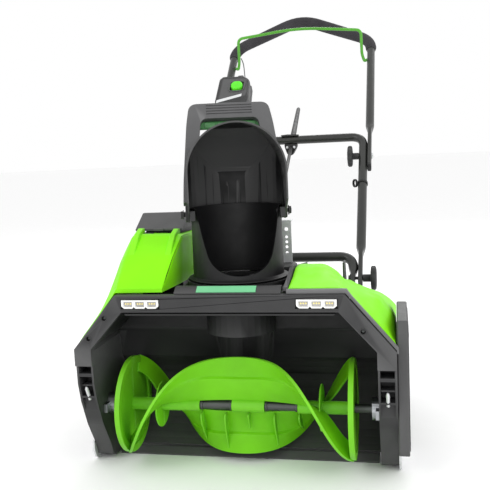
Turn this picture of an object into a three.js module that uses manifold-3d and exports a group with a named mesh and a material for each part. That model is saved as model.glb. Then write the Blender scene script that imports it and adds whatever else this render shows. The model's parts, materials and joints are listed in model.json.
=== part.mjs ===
// Single-stage cordless snow thrower, 22 inch (560 mm) clearing width.
// Millimetres. +X is the machine's right as seen from the front, the intake faces -Y, +Z is up.
// The origin lies on the ground under the chute's turning axis, on the scraper bar's underside.
import * as THREE from 'three';
import { mergeVertices } from 'three/addons/utils/BufferGeometryUtils.js';
import Module from 'manifold-3d';

const wasm = await Module();
wasm.setup();

// ---------------------------------------------------------------- driving dimensions
const GAP = 0.4; // air left between solids that touch on the real machine
const DEG = Math.PI / 180;

const intake = {
  half: 285, // outer half width of the side boxes
  inner: 253, // half width of the clear intake
  frontY: -118,
  bezelDepth: 14,
  topZ: 334,
  topHalf: 202,
  shoulderZ: 236,
  innerTopZ: 304,
  innerTopHalf: 191,
  bezelFootZ: 205,
  skin: 4,
};
const auger = { y: -40, z: 112, radius: 92, half: 212, shaftR: 8, scrollR: 104 };
const duct = { innerR: 60, outerR: 64, lipZ: 246, topZ: 334 };
const chute = { yaw: 16 * DEG, outerR: 84, wall: 4, baseZ: 347.5, flangeR: 93, topZ: 478, hingeZ: 466 };
const deflector = { outerR: 89, wall: 3, topZ: 630 };
const gear = { module: 4.5, ringTeeth: 39, pinionTeeth: 18, z0: 338, z1: 345, backlash: 0.9 };
const pinion = { angle: 69.9 * DEG, ballZ: 393 };
const crank = { top: new THREE.Vector3(-35, 1236, 719), rodR: 4.5, ballR: 8, sleeveR: 6.5, sleeveStart: 714 };
const motor = { y: 85, z: 205, r: 42, x0: 84, x1: 246, pulleyR: 16 };
const augerPulleyR = 45;
const wheel = { y: 300, r: 90, x0: 198, x1: 238, axleR: 8 };
const handle = { y: 409, z: 270.75, pitch: 0.735, tubeR: 11, flat: 11 };
const lower = { x: 185, crossL: 66.7, footL: -150 };
const mid = { x: 202, footL: -14, roundL: 88, pivotL: 421, crossL: 499.5 };
const upper = { x: 219, footL: 380, roundL: 535, cornerL: 956.5, apexL: 1105.7, apexX: -14, gripL: 906,
  gripR: 17 };
const bailDims = { x: 200, pivotL: 857, r: 4.4, rise: 90, peak: 13 };
const lid = { x0: -205, x1: -112, y0: 22, y1: 214, z: 466, hingeY: 222, hingeZ: 424 };

// ---------------------------------------------------------------- materials
function material(hex, roughness, metalness = 0) {
  return new THREE.MeshStandardMaterial({ color: hex, roughness, metalness });
}
const lime = material(0x8fdc28, 0.35);
const augerGreen = material(0x5cc814, 0.4);
const bailGreen = material(0x5aa028, 0.4);
const greyPlastic = material(0x4c4d4f, 0.65);
const blackPlastic = material(0x1b1c1d, 0.55);
const glossBlack = material(0x0d0e0f, 0.22);
const midGrey = material(0x737475, 0.6);
const foam = material(0x434144, 0.95);
const tubePaint = material(0x33352f, 0.35, 0.4);
const badgeGreen = material(0x6fc28c, 0.4);
const zinc = material(0xc9cbcd, 0.35, 0.9);
const steel = material(0x7d8288, 0.3, 1);
const rubber = material(0x1a1a1a, 0.9);
const lampWhite = material(0xe8e8e2, 0.2);

// ---------------------------------------------------------------- solid helpers
const machine = new THREE.Group();
const V = (x, y, z) => new THREE.Vector3(x, y, z);

function solid(geometry) {
  let bare = geometry.index ? geometry.toNonIndexed() : geometry.clone();
  bare.deleteAttribute('normal');
  bare.deleteAttribute('uv');
  bare = mergeVertices(bare, 1e-4);
  const vertProperties = new Float32Array(bare.attributes.position.array);
  const triVerts = new Uint32Array(bare.index.array);
  return new wasm.Manifold(new wasm.Mesh({ numProp: 3, vertProperties, triVerts }));
}
function toGeometry(body) {
  const mesh = body.getMesh();
  const geometry = new THREE.BufferGeometry();
  const positions = new Float32Array(mesh.vertProperties);
  geometry.setAttribute('position', new THREE.BufferAttribute(positions, 3));
  geometry.setIndex(new THREE.BufferAttribute(new Uint32Array(mesh.triVerts), 1));
  geometry.computeVertexNormals();
  return geometry;
}
const asSolid = (item) => (item.isBufferGeometry ? solid(item) : item);
const join = (first, ...rest) => rest.reduce((sum, item) => sum.add(asSolid(item)), asSolid(first));
const cut = (first, ...rest) => rest.reduce((left, item) => left.subtract(asSolid(item)), asSolid(first));
const meet = (first, ...rest) => rest.reduce((both, item) => both.intersect(asSolid(item)), asSolid(first));

function add(name, item, look, parent = machine) {
  const geometry = item.isBufferGeometry ? item : toGeometry(item);
  const mesh = new THREE.Mesh(geometry, look);
  mesh.name = name;
  parent.add(mesh);
  return mesh;
}

// Box between two corners.
function box(x0, x1, y0, y1, z0, z1) {
  const geometry = new THREE.BoxGeometry(x1 - x0, y1 - y0, z1 - z0);
  return geometry.translate((x0 + x1) / 2, (y0 + y1) / 2, (z0 + z1) / 2);
}
// Prisms of a shape or an outline [[a, b], ...].
// Along X the outline is in (Y, Z), along Y in (X, Z), along Z in (X, Y).
function outline(points) {
  if (points instanceof THREE.Shape) return points;
  return new THREE.Shape(points.map(([a, b]) => new THREE.Vector2(a, b)));
}
function extrude(shape, depth, bevel = 0) {
  return new THREE.ExtrudeGeometry(shape, {
    depth: depth - 2 * bevel,
    bevelEnabled: bevel > 0,
    bevelThickness: bevel,
    bevelSize: bevel,
    bevelOffset: -bevel,
    bevelSegments: 1,
    curveSegments: 8,
  }).translate(0, 0, bevel);
}
function prismX(shape, x0, x1, bevel = 0) {
  const basis = new THREE.Matrix4().makeBasis(V(0, 1, 0), V(0, 0, 1), V(1, 0, 0));
  return extrude(outline(shape), x1 - x0, bevel).applyMatrix4(basis).translate(x0, 0, 0);
}
function prismY(shape, y0, y1, bevel = 0) {
  const basis = new THREE.Matrix4().makeBasis(V(1, 0, 0), V(0, 0, 1), V(0, -1, 0));
  return extrude(outline(shape), y1 - y0, bevel).applyMatrix4(basis).translate(0, y1, 0);
}
function prismZ(shape, z0, z1, bevel = 0) {
  return extrude(outline(shape), z1 - z0, bevel).translate(0, 0, z0);
}
// Round bar between two points.
function bar(from, to, r0, r1 = r0, sides = 16) {
  const axis = to.clone().sub(from);
  const geometry = new THREE.CylinderGeometry(r1, r0, axis.length(), sides);
  const turn = new THREE.Quaternion().setFromUnitVectors(V(0, 1, 0), axis.clone().normalize());
  return geometry.applyQuaternion(turn).translate(...from.clone().add(to).multiplyScalar(0.5).toArray());
}
const barX = (x0, x1, y, z, r, sides = 24) => bar(V(x0, y, z), V(x1, y, z), r, r, sides);
const barZ = (x, y, z0, z1, r, sides = 24) => bar(V(x, y, z0), V(x, y, z1), r, r, sides);
// Round tube or ring section swept along a path.
function circle(radius, sides) {
  const points = Array.from({ length: sides }, (_, i) => {
    const turn = (i / sides) * 2 * Math.PI;
    return [radius * Math.cos(turn), radius * Math.sin(turn)];
  });
  return outline(points);
}
function sweep(path, shape, steps) {
  return new THREE.ExtrudeGeometry(shape, { steps, extrudePath: path, bevelEnabled: false });
}
// Solid through closed rings of points, the first and last ring closed by a fan about their centre.
function loft(rings) {
  const count = rings[0].length;
  const centres = [rings[0], rings[rings.length - 1]].map((ring) =>
    ring.reduce((sum, point) => sum.add(point), V(0, 0, 0)).divideScalar(count));
  const positions = [...rings.flat(), ...centres].flatMap((point) => point.toArray());
  const total = rings.length * count;
  const index = [];
  for (let i = 0; i + 1 < rings.length; i += 1) {
    for (let j = 0; j < count; j += 1) {
      const a = i * count + j;
      const b = i * count + ((j + 1) % count);
      index.push(a, b, b + count, a, b + count, a + count);
    }
  }
  for (let j = 0; j < count; j += 1) {
    const next = (j + 1) % count;
    index.push(total, next, j, total + 1, total - count + j, total - count + next);
  }
  const geometry = new THREE.BufferGeometry();
  geometry.setAttribute('position', new THREE.Float32BufferAttribute(positions, 3));
  geometry.setIndex(index);
  const body = solid(geometry);
  return body.volume() < 0 ? solid(flipped(geometry)) : body;
}
function flipped(geometry) {
  const index = geometry.index.array;
  for (let i = 0; i < index.length; i += 3) {
    [index[i + 1], index[i + 2]] = [index[i + 2], index[i + 1]];
  }
  return geometry;
}
// Loft of outlines in (X, Z) placed along Y: [[y, [[x, z], ...]], ...].
function loftY(sections) {
  return loft(sections.map(([y, points]) => points.map(([x, z]) => V(x, y, z))));
}
// Extent between two distances from the middle plane, on the side given by the sign.
const span = (side, near, far) => (side > 0 ? [near, far] : [-far, -near]);
const mix = (a, b, t) => a + (b - a) * t;
// Point on the handle's plane: x across, length up the legs, and height off the plane.
function onHandle(x, length, off = 0) {
  const run = Math.cos(handle.pitch);
  const rise = Math.sin(handle.pitch);
  return V(x, handle.y + length * run - off * rise, handle.z + length * rise + off * run);
}
// A block in the handle's own directions.
function handleBox(x0, x1, l0, l1, n0, n1) {
  const corner = onHandle(0, 0);
  return box(x0, x1, l0, l1, n0, n1).rotateX(handle.pitch).translate(0, corner.y, corner.z);
}

// ---------------------------------------------------------------- intake
function hexagon(half, shoulderZ, topHalf, topZ, footZ) {
  return [[-half, footZ], [-half, shoulderZ], [-topHalf, topZ], [topHalf, topZ], [half, shoulderZ],
    [half, footZ]];
}
function frontBezel() {
  const { half, inner, frontY, bezelDepth, topZ, topHalf, shoulderZ } = intake;
  const { innerTopZ, innerTopHalf, bezelFootZ } = intake;
  const outer = hexagon(half, shoulderZ, topHalf, topZ, bezelFootZ);
  const opening = hexagon(inner, shoulderZ, innerTopHalf, innerTopZ, bezelFootZ).reverse();
  const plate = prismY([...outer, ...opening], frontY, frontY + bezelDepth);
  const screwHoles = [[-224, 293], [-256, 256], [231, 271]];
  const holes = screwHoles.map(([x, z]) => bar(V(x, frontY - 5, z), V(x, frontY + 9, z), 4.5, 4.5, 10));
  const lampBeds = [-1, 1].map((side) =>
    box(side * 155 - 36, side * 155 + 36, frontY - 5, frontY + 7, 310, 327));
  return cut(plate, ...holes, ...lampBeds);
}
function sidePlate(side) {
  const profile = [
    [-113, 204.6], [-112, 170], [-103, 133], [-82, 84], [-52, 34], [-44, 12], [-30, 4],
    [24, 4], [50, 18], [90, 60], [130, 150], [130, 231], [-103.6, 231], [-103.6, 204.6],
  ];
  const inner = intake.inner + 0.5;
  const x0 = side > 0 ? inner : -intake.half;
  const plate = prismX(profile, x0, x0 + intake.half - inner);
  const pocketMid = side * 269;
  const pockets = [[190, 240], [146, 184]].map(([z0, z1]) =>
    box(pocketMid - 12, pocketMid + 12, -140, -76, z0, Math.min(z1, 226)));
  const strip = box(pocketMid - 12, pocketMid + 12, -140, -96, 100, 142);
  const shaftHole = barX(x0 - 1, x0 + 40, auger.y, auger.z, auger.shaftR + 1);
  const motorHole = barX(x0 - 1, x0 + 40, motor.y, motor.z, 10);
  return cut(plate, ...pockets, strip, ...(side > 0 ? [shaftHole, motorHole] : [shaftHole]));
}
function scrollPoints(radius, shift) {
  const points = [];
  for (let angle = -66; angle <= 52; angle += 118 / 14) {
    points.push([auger.y + radius * Math.cos(angle * DEG), auger.z + radius * Math.sin(angle * DEG)]);
  }
  points.push([16 + shift, 300]);
  return points;
}
function augerHousing() {
  const { inner, skin, shoulderZ, innerTopZ, innerTopHalf } = intake;
  const wallY = [...scrollPoints(auger.scrollR, 0), ...scrollPoints(auger.scrollR + skin, skin).reverse()];
  const scroll = prismX(wallY, -inner, inner);
  const roofInner = [[-inner, 232], [-inner, shoulderZ], [-innerTopHalf, innerTopZ],
    [innerTopHalf, innerTopZ], [inner, shoulderZ], [inner, 232]];
  const roofOuter = [[inner + 5, 232], [inner + 5, shoulderZ + 1], [innerTopHalf + 2, innerTopZ + skin],
    [-innerTopHalf - 2, innerTopZ + skin], [-inner - 5, shoulderZ + 1], [-inner - 5, 232]];
  const roof = prismY([...roofInner, ...roofOuter], intake.frontY + intake.bezelDepth + GAP, 22);
  const backCap = meet(
    prismY([...roofInner.slice(1, 5)], 0, 22),
    prismX([[16, 296], [16, 200], [22, 200], [22, 310], [16, 310]], -inner, inner),
  );
  const pipe = barZ(0, 0, 130, duct.topZ, duct.outerR, 32);
  const bore = barZ(0, 0, 146, duct.topZ + 5, duct.innerR, 32);
  const front = [...scrollPoints(auger.scrollR, 0).slice(0, -1), [20, duct.lipZ], [-150, duct.lipZ],
    [-150, 0]];
  const sweepVolume = prismX(front, -inner, inner);
  const shell = join(scroll, roof, backCap, pipe);
  return cut(shell, bore, sweepVolume);
}
add('front_bezel', frontBezel(), greyPlastic);
add('side_plate_left', sidePlate(-1), greyPlastic);
add('side_plate_right', sidePlate(1), greyPlastic);
add('auger_housing', augerHousing(), blackPlastic);
const scraperShape = [[-14, 0], [14, 0], [20, 6], [6, 12.6], [-2, 12.6], [-14, 3]];
add('scraper_bar', prismX(scraperShape, -250, 250), blackPlastic);

// Skid shoe with its bolt head, against the outside of a side box.
function skid(side) {
  const profile = [[-58, 22], [-50, 6], [-38, 0], [40, 0], [52, 8], [56, 24], [56, 40], [-58, 40]];
  const face = intake.half + GAP;
  const shoe = prismX(profile, ...span(side, face, face + 4));
  return join(shoe, barX(...span(side, face + 3, face + 9), 0, 28, 8, 6));
}
for (const [name, side] of [['left', -1], ['right', 1]]) add(`skid_${name}`, skid(side), zinc);
// Work lamp: three-cell reflector block with a notched lower edge.
function lamp(side) {
  const x = side * 155;
  const front = intake.frontY - 1;
  const face = [[-34, 326], [-34, 315], [-29, 311], [-14, 311], [-11, 314], [-8, 311], [8, 311], [11, 314],
    [14, 311], [29, 311], [34, 315], [34, 326]];
  const block = prismY(face.map(([u, z]) => [x + u, z]), front, front + 7.4);
  const cells = [-22, 0, 22].map((u) => box(x + u - 8, x + u + 8, front - 1, front + 3, 314, 323));
  return cut(block, ...cells);
}
add('lamp_left', lamp(-1), lampWhite);
add('lamp_right', lamp(1), lampWhite);

// ---------------------------------------------------------------- deck and covers
const pinionAt = V(0, 0, 0).set(
  (gear.module * (gear.ringTeeth + gear.pinionTeeth)) / 2 + 0.1, 0, 0,
).applyAxisAngle(V(0, 0, 1), pinion.angle);
const ringPitchR = (gear.module * gear.ringTeeth) / 2;
const pinionPitchR = (gear.module * gear.pinionTeeth) / 2;

function deckPanel() {
  const floor = prismX([[-103, 334.6], [-103, 337], [200, 337], [200, 334.6]], -97, 97);
  const slope = prismX([[-112, 334.6], [-112, 336.6], [-99, 346], [-88, 346], [-88, 334.6]], -94, 94);
  const collar = barZ(0, 0, 334.6, 346, 96.5, 32);
  const pod = barZ(pinionAt.x, pinionAt.y, 334.6, 350, pinionPitchR + 8, 32);
  const ringRoom = barZ(0, 0, 337, 352, 93, 32);
  const pinionRoom = barZ(pinionAt.x, pinionAt.y, 337, 347.1, pinionPitchR + 5, 32);
  const shaftHole = barZ(pinionAt.x, pinionAt.y, 330, 360, 5.5, 16);
  const ductHole = barZ(0, 0, 330, 340, duct.outerR + 1, 32);
  const sweepRoom = barZ(0, 0, 346.6, 352, chute.flangeR + 0.6, 32);
  return cut(join(floor, slope, collar, pod), ringRoom, pinionRoom, shaftHole, ductHole, sweepRoom);
}
add('deck_panel', deckPanel(), blackPlastic);

const badge = prismX([[-111.6, 337.4], [-99.8, 346], [-100.4, 347], [-112.2, 338.4]], -54, 51);
add('badge_plate', badge, badgeGreen);

// Hoods over the shoulders. Each is lofted from a low rim behind the bezel to its full section.
const shoulderFoot = [206, 336.8];
const footFall = 44;
const hoodSkin = 3.5;
const hoodFrontWall = 16;
const rightFull = [[106, 336.8], [106, 368], [158, 368], [179, 355], [197, 333], [222, 320], [256, 307],
  [275, 280], [283, 250], [284, 238]];
const rightRim = [[106, 336.8], [106, 343], [150, 343], [199, 343], [211, 332], [228, 312], [250, 288],
  [267, 268], [284, 247], [284, 238]];
const leftFull = [[-284, 238], [-283, 248], [-276, 278], [-251, 312], [-241, 347], [-233, 374], [-218, 402],
  [-201, 431], [-104, 428], [-110, 341], [-110, 336.8]];
const leftRim = [[-284, 238], [-284, 241], [-267, 263], [-250, 283], [-228, 308], [-211, 329], [-206, 338],
  [-203, 342.5], [-118, 342.5], [-118, 340], [-118, 336.8]];

function hoodLine(rim, full, grow, drop) {
  return full.map(([x, z], i) => {
    const height = mix(rim[i][1], z, grow);
    return [mix(rim[i][0], x, grow), height - (drop * (height - 238)) / 136];
  });
}
function insetLine(points, depth) {
  return points.map(([x, z], i) => {
    const [ax, az] = points[Math.max(0, i - 1)];
    const [bx, bz] = points[Math.min(points.length - 1, i + 1)];
    const length = Math.hypot(bx - ax, bz - az);
    return [x + (depth * (bz - az)) / length, z - (depth * (bx - ax)) / length];
  });
}
// The same stations with the first and last moved inward, for the hollow behind the skin.
function inside(stations) {
  const [front, second] = stations;
  const back = stations[stations.length - 1];
  const share = hoodFrontWall / (second[0] - front[0]);
  return [
    [front[0] + hoodFrontWall, mix(front[1], second[1], share), 0],
    ...stations.slice(1, -1),
    [back[0] - hoodSkin, back[1], back[2]],
  ];
}
// Inner corner of a hood's section: on the shoulder at the front, and lower as the section grows.
function footAt(side, grow, drop) {
  return [side * shoulderFoot[0], shoulderFoot[1] - footFall * grow - drop];
}
function hood(rim, full, stations, side) {
  const outer = stations.map(([y, grow, drop]) =>
    [y, [...hoodLine(rim, full, grow, drop), footAt(side, grow, drop)]]);
  const hollow = inside(stations).map(([y, grow, drop]) => {
    const line = insetLine(hoodLine(rim, full, grow, drop), hoodSkin);
    line[0][1] -= 40;
    line[line.length - 1][1] -= 40;
    const [footX, footZ] = footAt(side, grow, drop);
    return [y, [...line, [footX, footZ - 60]]];
  });
  return cut(loftY(outer), loftY(hollow));
}
const rightStations = [[-103, 0, 0], [-60, 0.42, 0], [-15, 0.92, 0], [20, 1, 2], [90, 1, 26], [180, 0.9, 56],
  [232, 0.5, 62]];
const leftStations = [[-103, 0, 0], [-50, 0.6, 0], [-2, 1, 0], [120, 1, 3], [222, 0.95, 14], [240, 0.7, 20]];
const lidOpening = box(lid.x0 + 5, lid.x1 - 5, lid.y0 + 5, lid.y1 - 5, 380, 480);
add('right_cover', hood(rightRim, rightFull, rightStations, 1), lime);
add('left_cover', cut(hood(leftRim, leftFull, leftStations, -1), lidOpening), lime);

// Grey strip that follows the bezel under the right hood, and the grey cheek beside the chute.
const edgeTrim = [[104, 334.8], [203, 334.8], [211, 326], [285.4, 238], [285.4, 232], [288.4, 232],
  [288.4, 242], [213, 330.5], [205, 342], [104, 342]];
add('edge_trim', prismY(edgeTrim, -112, -104.2), midGrey);
add('cheek_right', loftY([
  [-101, [[97.6, 337.4], [105.2, 337.4], [105.2, 344], [97.6, 344]]],
  [-60, [[97.6, 337.4], [105.2, 337.4], [105.2, 354], [97.6, 352]]],
  [-15, [[97.6, 337.4], [105.2, 337.4], [105.2, 368], [97.6, 365]]],
  [190, [[97.6, 337.4], [105.2, 337.4], [105.2, 344], [97.6, 342]]],
]), greyPlastic);

// Battery bay: tray, pack, and the lid hinged along its rear edge.
function batteryTray() {
  const shell = box(-200, -117, 27, 209, 262, 372);
  return cut(shell, box(-197, -120, 30, 206, 265, 373));
}
add('battery_tray', batteryTray(), blackPlastic);
function batteryPack() {
  const pack = prismX([[36, 268], [200, 268], [200, 424], [190, 434], [46, 434], [36, 424]], -192, -125, 2);
  const grip = box(-178, -139, 90, 146, 420, 440);
  return cut(pack, grip);
}
add('battery_pack', batteryPack(), greyPlastic);
function batteryLid() {
  const { x0, x1, y0, y1, z } = lid;
  const outline = [[y0, 433.5], [y0, 437], [y0 + 48, z - 2], [y0 + 60, z - 2], [y1 - 14, 450], [y1, 440],
    [y1, 433.5]];
  const shell = prismX(outline, x0, x1);
  const hollow = prismX([[y0 + 4, 430], [y0 + 4, 435], [y0 + 50, z - 6.5], [y0 + 59, z - 6.5],
    [y1 - 15, 446], [y1 - 3, 438], [y1 - 3, 430]], x0 + 3, x1 - 3);
  const armShape = [[y1 - 4, 434], [y1 - 4, 440], [lid.hingeY - 4, 438], [lid.hingeY + 5, 430],
    [lid.hingeY + 5, 421], [lid.hingeY - 3, 419.8], [lid.hingeY - 5, 434]];
  const arms = [x0 + 14, x1 - 26].map((x) => prismX(armShape, x, x + 12));
  const pin = barX(x0 + 4, x1 - 4, lid.hingeY, lid.hingeZ, 2.5, 12);
  const latch = box(x0 + 37, x0 + 56, y0 - 3, y0 + 3.5, 433.5, 437);
  return join(cut(shell, hollow), ...arms, pin, latch);
}
const lidGroup = new THREE.Group();
machine.add(lidGroup);
add('battery_lid', batteryLid(), greyPlastic, lidGroup);

// ---------------------------------------------------------------- rear frame, motor and wheels
function rearBase() {
  const side = [[72, 70], [120, 60], [330, 60], [340, 80], [340, 250], [300, 330], [140, 330], [140, 150]];
  const outer = prismX(side, -176, 176);
  const room = [[76, 74], [122, 64], [328, 64], [336, 82], [336, 400], [100, 400], [144, 150]];
  const inner = prismX(room, -172, 172);
  const front = box(-180, 180, 60, 262, 180, 400);
  const axleHole = barX(-190, 190, wheel.y, wheel.r, wheel.axleR + GAP, 16);
  const pads = [-1, 1].map((side) => handleBox(...span(side, 174, 179.1), -148, -98, -16, 16));
  return join(cut(outer, inner, front, axleHole), ...pads);
}
add('rear_base', rearBase(), blackPlastic);
add('drive_motor', join(
  barX(motor.x0, motor.x1, motor.y, motor.z, motor.r, 32),
  barX(motor.x0 - 6, motor.x0 + 1, motor.y, motor.z, motor.r - 14, 24),
).subtract(asSolid(barX(motor.x1 - 30, motor.x1 + 1, motor.y, motor.z, 6, 16))), steel);
function grooved(x0, y, z, r, bore) {
  const profile = [[bore, 0], [r, 0], [r, 2], [r - 3, 3], [r - 3, 11], [r, 12], [r, 14], [bore, 14]];
  const ring = new THREE.LatheGeometry([...profile, profile[0]].map(([a, b]) => new THREE.Vector2(a, b)), 24);
  return ring.rotateZ(-90 * DEG).translate(x0, y, z);
}
const pulleyX = 287.2;
add('motor_pulley', join(
  solid(grooved(pulleyX, motor.y, motor.z, motor.pulleyR, 3)),
  barX(motor.x1 - 28, pulleyX + 13, motor.y, motor.z, 5, 16),
), steel);

add('wheel_axle', barX(-244, 244, wheel.y, wheel.r, wheel.axleR, 16), steel);
// Wheel turned about its axle: hub, web, rim and tyre.
function wheelBody(side) {
  const half = [[wheel.axleR + 0.6, 0], [22, 0], [22, 14], [54, 16], [54, 4], [62, 3], [64, 0], [78, 0],
    [87, 4], [wheel.r, 10]];
  const width = wheel.x1 - wheel.x0;
  const profile = [...half, ...half.map(([r, x]) => [r, width - x]).reverse(), half[0]];
  const lathe = new THREE.LatheGeometry(profile.map(([r, x]) => new THREE.Vector2(r, x)), 20);
  return lathe.rotateZ(-90 * DEG).translate(side > 0 ? wheel.x0 : -wheel.x1, wheel.y, wheel.r);
}
for (const [name, side] of [['left', -1], ['right', 1]]) add(`wheel_${name}`, wheelBody(side), rubber);

// Belt drive outside the right side box, under its cover.
function beltLoop(offset) {
  const span = Math.hypot(motor.y - auger.y, motor.z - auger.z);
  const lean = Math.atan2(motor.z - auger.z, motor.y - auger.y);
  const big = augerPulleyR - 3 + offset;
  const small = motor.pulleyR - 3 + offset;
  const wrap = Math.acos((big - small) / span);
  const shape = new THREE.Path();
  shape.absarc(auger.y, auger.z, big, lean + wrap, lean - wrap + 2 * Math.PI, false);
  shape.absarc(motor.y, motor.z, small, lean - wrap, lean + wrap, false);
  return shape.getPoints(14).map((point) => [point.x, point.y]);
}
const beltShape = outline(beltLoop(4.2));
beltShape.holes.push(new THREE.Path(outline(beltLoop(0.5)).getPoints().reverse()));
add('drive_belt', prismX(beltShape, pulleyX + 3.4, pulleyX + 10.6), rubber);
function driveCover() {
  const shape = (inset) => {
    const hull = [[-96, 60], [-96, 262], [-82, 282], [60, 286], [112, 268], [124, 240], [122, 170], [34, 46],
      [20, 40], [-84, 40]];
    return hull.map(([y, z]) => [mix(y, 14, inset), mix(z, 163, inset)]);
  };
  const shell = prismX(shape(0), intake.half + GAP, 304, 2);
  const room = prismX(shape(0.04), intake.half, 301.4);
  const skidRoom = box(280, 310, -100, 100, 30, 45);
  return cut(shell, room, skidRoom);
}
add('drive_cover', driveCover(), greyPlastic);

// ---------------------------------------------------------------- auger
const augerGroup = new THREE.Group();
machine.add(augerGroup);
add('auger_shaft', barX(-251, 300, auger.y, auger.z, auger.shaftR, 24), steel, augerGroup);
add('auger_pulley', grooved(pulleyX, auger.y, auger.z, augerPulleyR, auger.shaftR + 0.3), steel, augerGroup);
function bearing(side) {
  const x0 = side > 0 ? 240 : -252.8;
  const ring = join(barX(x0, x0 + 12.8, auger.y, auger.z, 20, 24),
    prismX([[-76, 104], [-76, 120], [-4, 120], [-4, 104]], side > 0 ? 247 : -252.8, side > 0 ? 252.8 : -247));
  return cut(ring, barX(x0 - 1, x0 + 14, auger.y, auger.z, auger.shaftR + 0.3, 24));
}
add('bearing_left', bearing(-1), steel);
add('bearing_right', bearing(1), steel);

// Blade angle about the shaft: upright in the middle, wound forward and down towards each end.
const windTurn = 155 * DEG;
const bladeHalf = 206;
const sleeveWall = 3.6;
function bladeAngle(x) {
  return 90 * DEG + windTurn * (Math.abs(x) / bladeHalf) ** 2;
}
function bladeSection(x, thickness) {
  const step = 1;
  const point = (at, r) => {
    const angle = bladeAngle(at);
    return V(at, auger.y + r * Math.cos(angle), auger.z + r * Math.sin(angle));
  };
  const reach = Math.max(0, (Math.abs(x) - 130) / 75);
  const rootInSleeve = auger.shaftR + 1.2;
  const rIn = mix(rootInSleeve, 58, Math.min(1, reach));
  const rOut = auger.radius;
  const radial = point(x, rOut).sub(point(x, rIn)).normalize();
  const along = point(x + step, rOut).sub(point(x - step, rOut)).normalize();
  const off = radial.clone().cross(along).normalize().multiplyScalar(thickness / 2);
  return [point(x, rIn).add(off), point(x, rOut).add(off), point(x, rOut).sub(off), point(x, rIn).sub(off)];
}
function paddle() {
  const { y, z, shaftR, radius } = auger;
  const stations = Array.from({ length: 32 }, (_, i) => mix(-bladeHalf, bladeHalf, i / 31));
  const blade = loft(stations.map((x) => bladeSection(x, 4)));
  const sleeveSpans = [[-208, -76], [-15, 46], [107, 208]];
  const sleeves = sleeveSpans.map(([x0, x1]) => barX(x0, x1, y, z, shaftR + sleeveWall, 22));
  const ends = [-1, 1].flatMap((side) => {
    const x = side * 207;
    const rim = cut(barX(x - 5, x + 5, y, z, radius, 24), barX(x - 6, x + 6, y, z, radius - 13, 24));
    const disc = barX(x - 2, x + 2, y, z, radius - 6, 20);
    const fin = barX(side * 151 - 1.5, side * 151 + 1.5, y, z, 41, 16);
    return [rim, disc, fin];
  });
  const frontHalf = box(-300, 300, y - 200, y - GAP, -50, 300);
  const clamp = meet(join(...sleeves, ...ends), frontHalf);
  const root = shaftR + sleeveWall + 0.8;
  const gussets = [-74, -27, 64, 108].map((x) =>
    prismX([[-1, root], [20, root], [3, radius - 4], [-1, radius - 4]], x - 1.5, x + 1.5)
      .rotateX(bladeAngle(x) - 90 * DEG).translate(0, y, z));
  const shaftRoom = barX(-230, 230, y, z, shaftR + GAP, 24);
  const rootRoom = box(-230, 230, y - 2.6, y + 2.6, z - shaftR - 6, z - shaftR + 2);
  return cut(join(blade, clamp, ...gussets), shaftRoom, rootRoom);
}
const frontPaddle = paddle();
add('paddle_front', frontPaddle, augerGreen, augerGroup);
const rearPaddle = toGeometry(frontPaddle).translate(0, -auger.y, -auger.z).rotateX(Math.PI);
add('paddle_rear', rearPaddle.translate(0, auger.y, auger.z), augerGreen, augerGroup);

// ---------------------------------------------------------------- chute
const chuteGroup = new THREE.Group();
chuteGroup.rotation.z = chute.yaw;
machine.add(chuteGroup);

// Spur gear outline with straight-sided teeth, one tooth centred on the phase angle.
function gearShape(teeth, phase) {
  const pitchR = (gear.module * teeth) / 2;
  const half = (gear.module * Math.PI - gear.backlash) / 4;
  const lean = Math.tan(20 * DEG);
  const tip = 0.7 * gear.module;
  const root = 1.1 * gear.module;
  const points = [];
  for (let i = 0; i < teeth; i += 1) {
    const centre = phase + (i / teeth) * 2 * Math.PI;
    for (const [radial, side] of [[-root, -1], [tip, -1], [tip, 1], [-root, 1]]) {
      const r = pitchR + radial;
      const turn = centre + (side * (half - radial * lean * (radial > 0 ? 1.12 : 0.9))) / r;
      points.push([r * Math.cos(turn), r * Math.sin(turn)]);
    }
  }
  return outline(points);
}
function chuteBody() {
  const { outerR, wall, baseZ, flangeR, topZ } = chute;
  const ringShape = gearShape(gear.ringTeeth, pinion.angle - chute.yaw);
  const ring = prismZ(ringShape, gear.z0, gear.z1);
  const neck = barZ(0, 0, gear.z0, baseZ + 1, outerR - 4, 36);
  const flange = barZ(0, 0, baseZ, baseZ + 5, flangeR, 36);
  const tube = bar(V(0, 0, baseZ), V(0, 0, topZ), outerR, outerR - 1, 36);
  const bore = bar(V(0, 0, gear.z0 - 1), V(0, 0, baseZ + 6), duct.innerR + 8, duct.innerR + 8, 36);
  const inside = bar(V(0, 0, baseZ + 4), V(0, 0, topZ + 1), outerR - 10, outerR - 1 - wall, 36);
  const mouth = new THREE.Shape();
  mouth.moveTo(-76, 500);
  mouth.quadraticCurveTo(-70, 440, -58, 396);
  mouth.quadraticCurveTo(-50, 360, 0, 360);
  mouth.quadraticCurveTo(50, 360, 58, 396);
  mouth.quadraticCurveTo(70, 440, 76, 500);
  const opening = prismY(mouth, -120, 0);
  const shell = cut(join(ring, neck, flange, tube), bore, inside, opening);
  const pins = barX(-120, 120, 0, chute.hingeZ, 4.3, 12);
  return cut(shell, pins);
}
add('chute', chuteBody(), glossBlack, chuteGroup);


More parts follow.
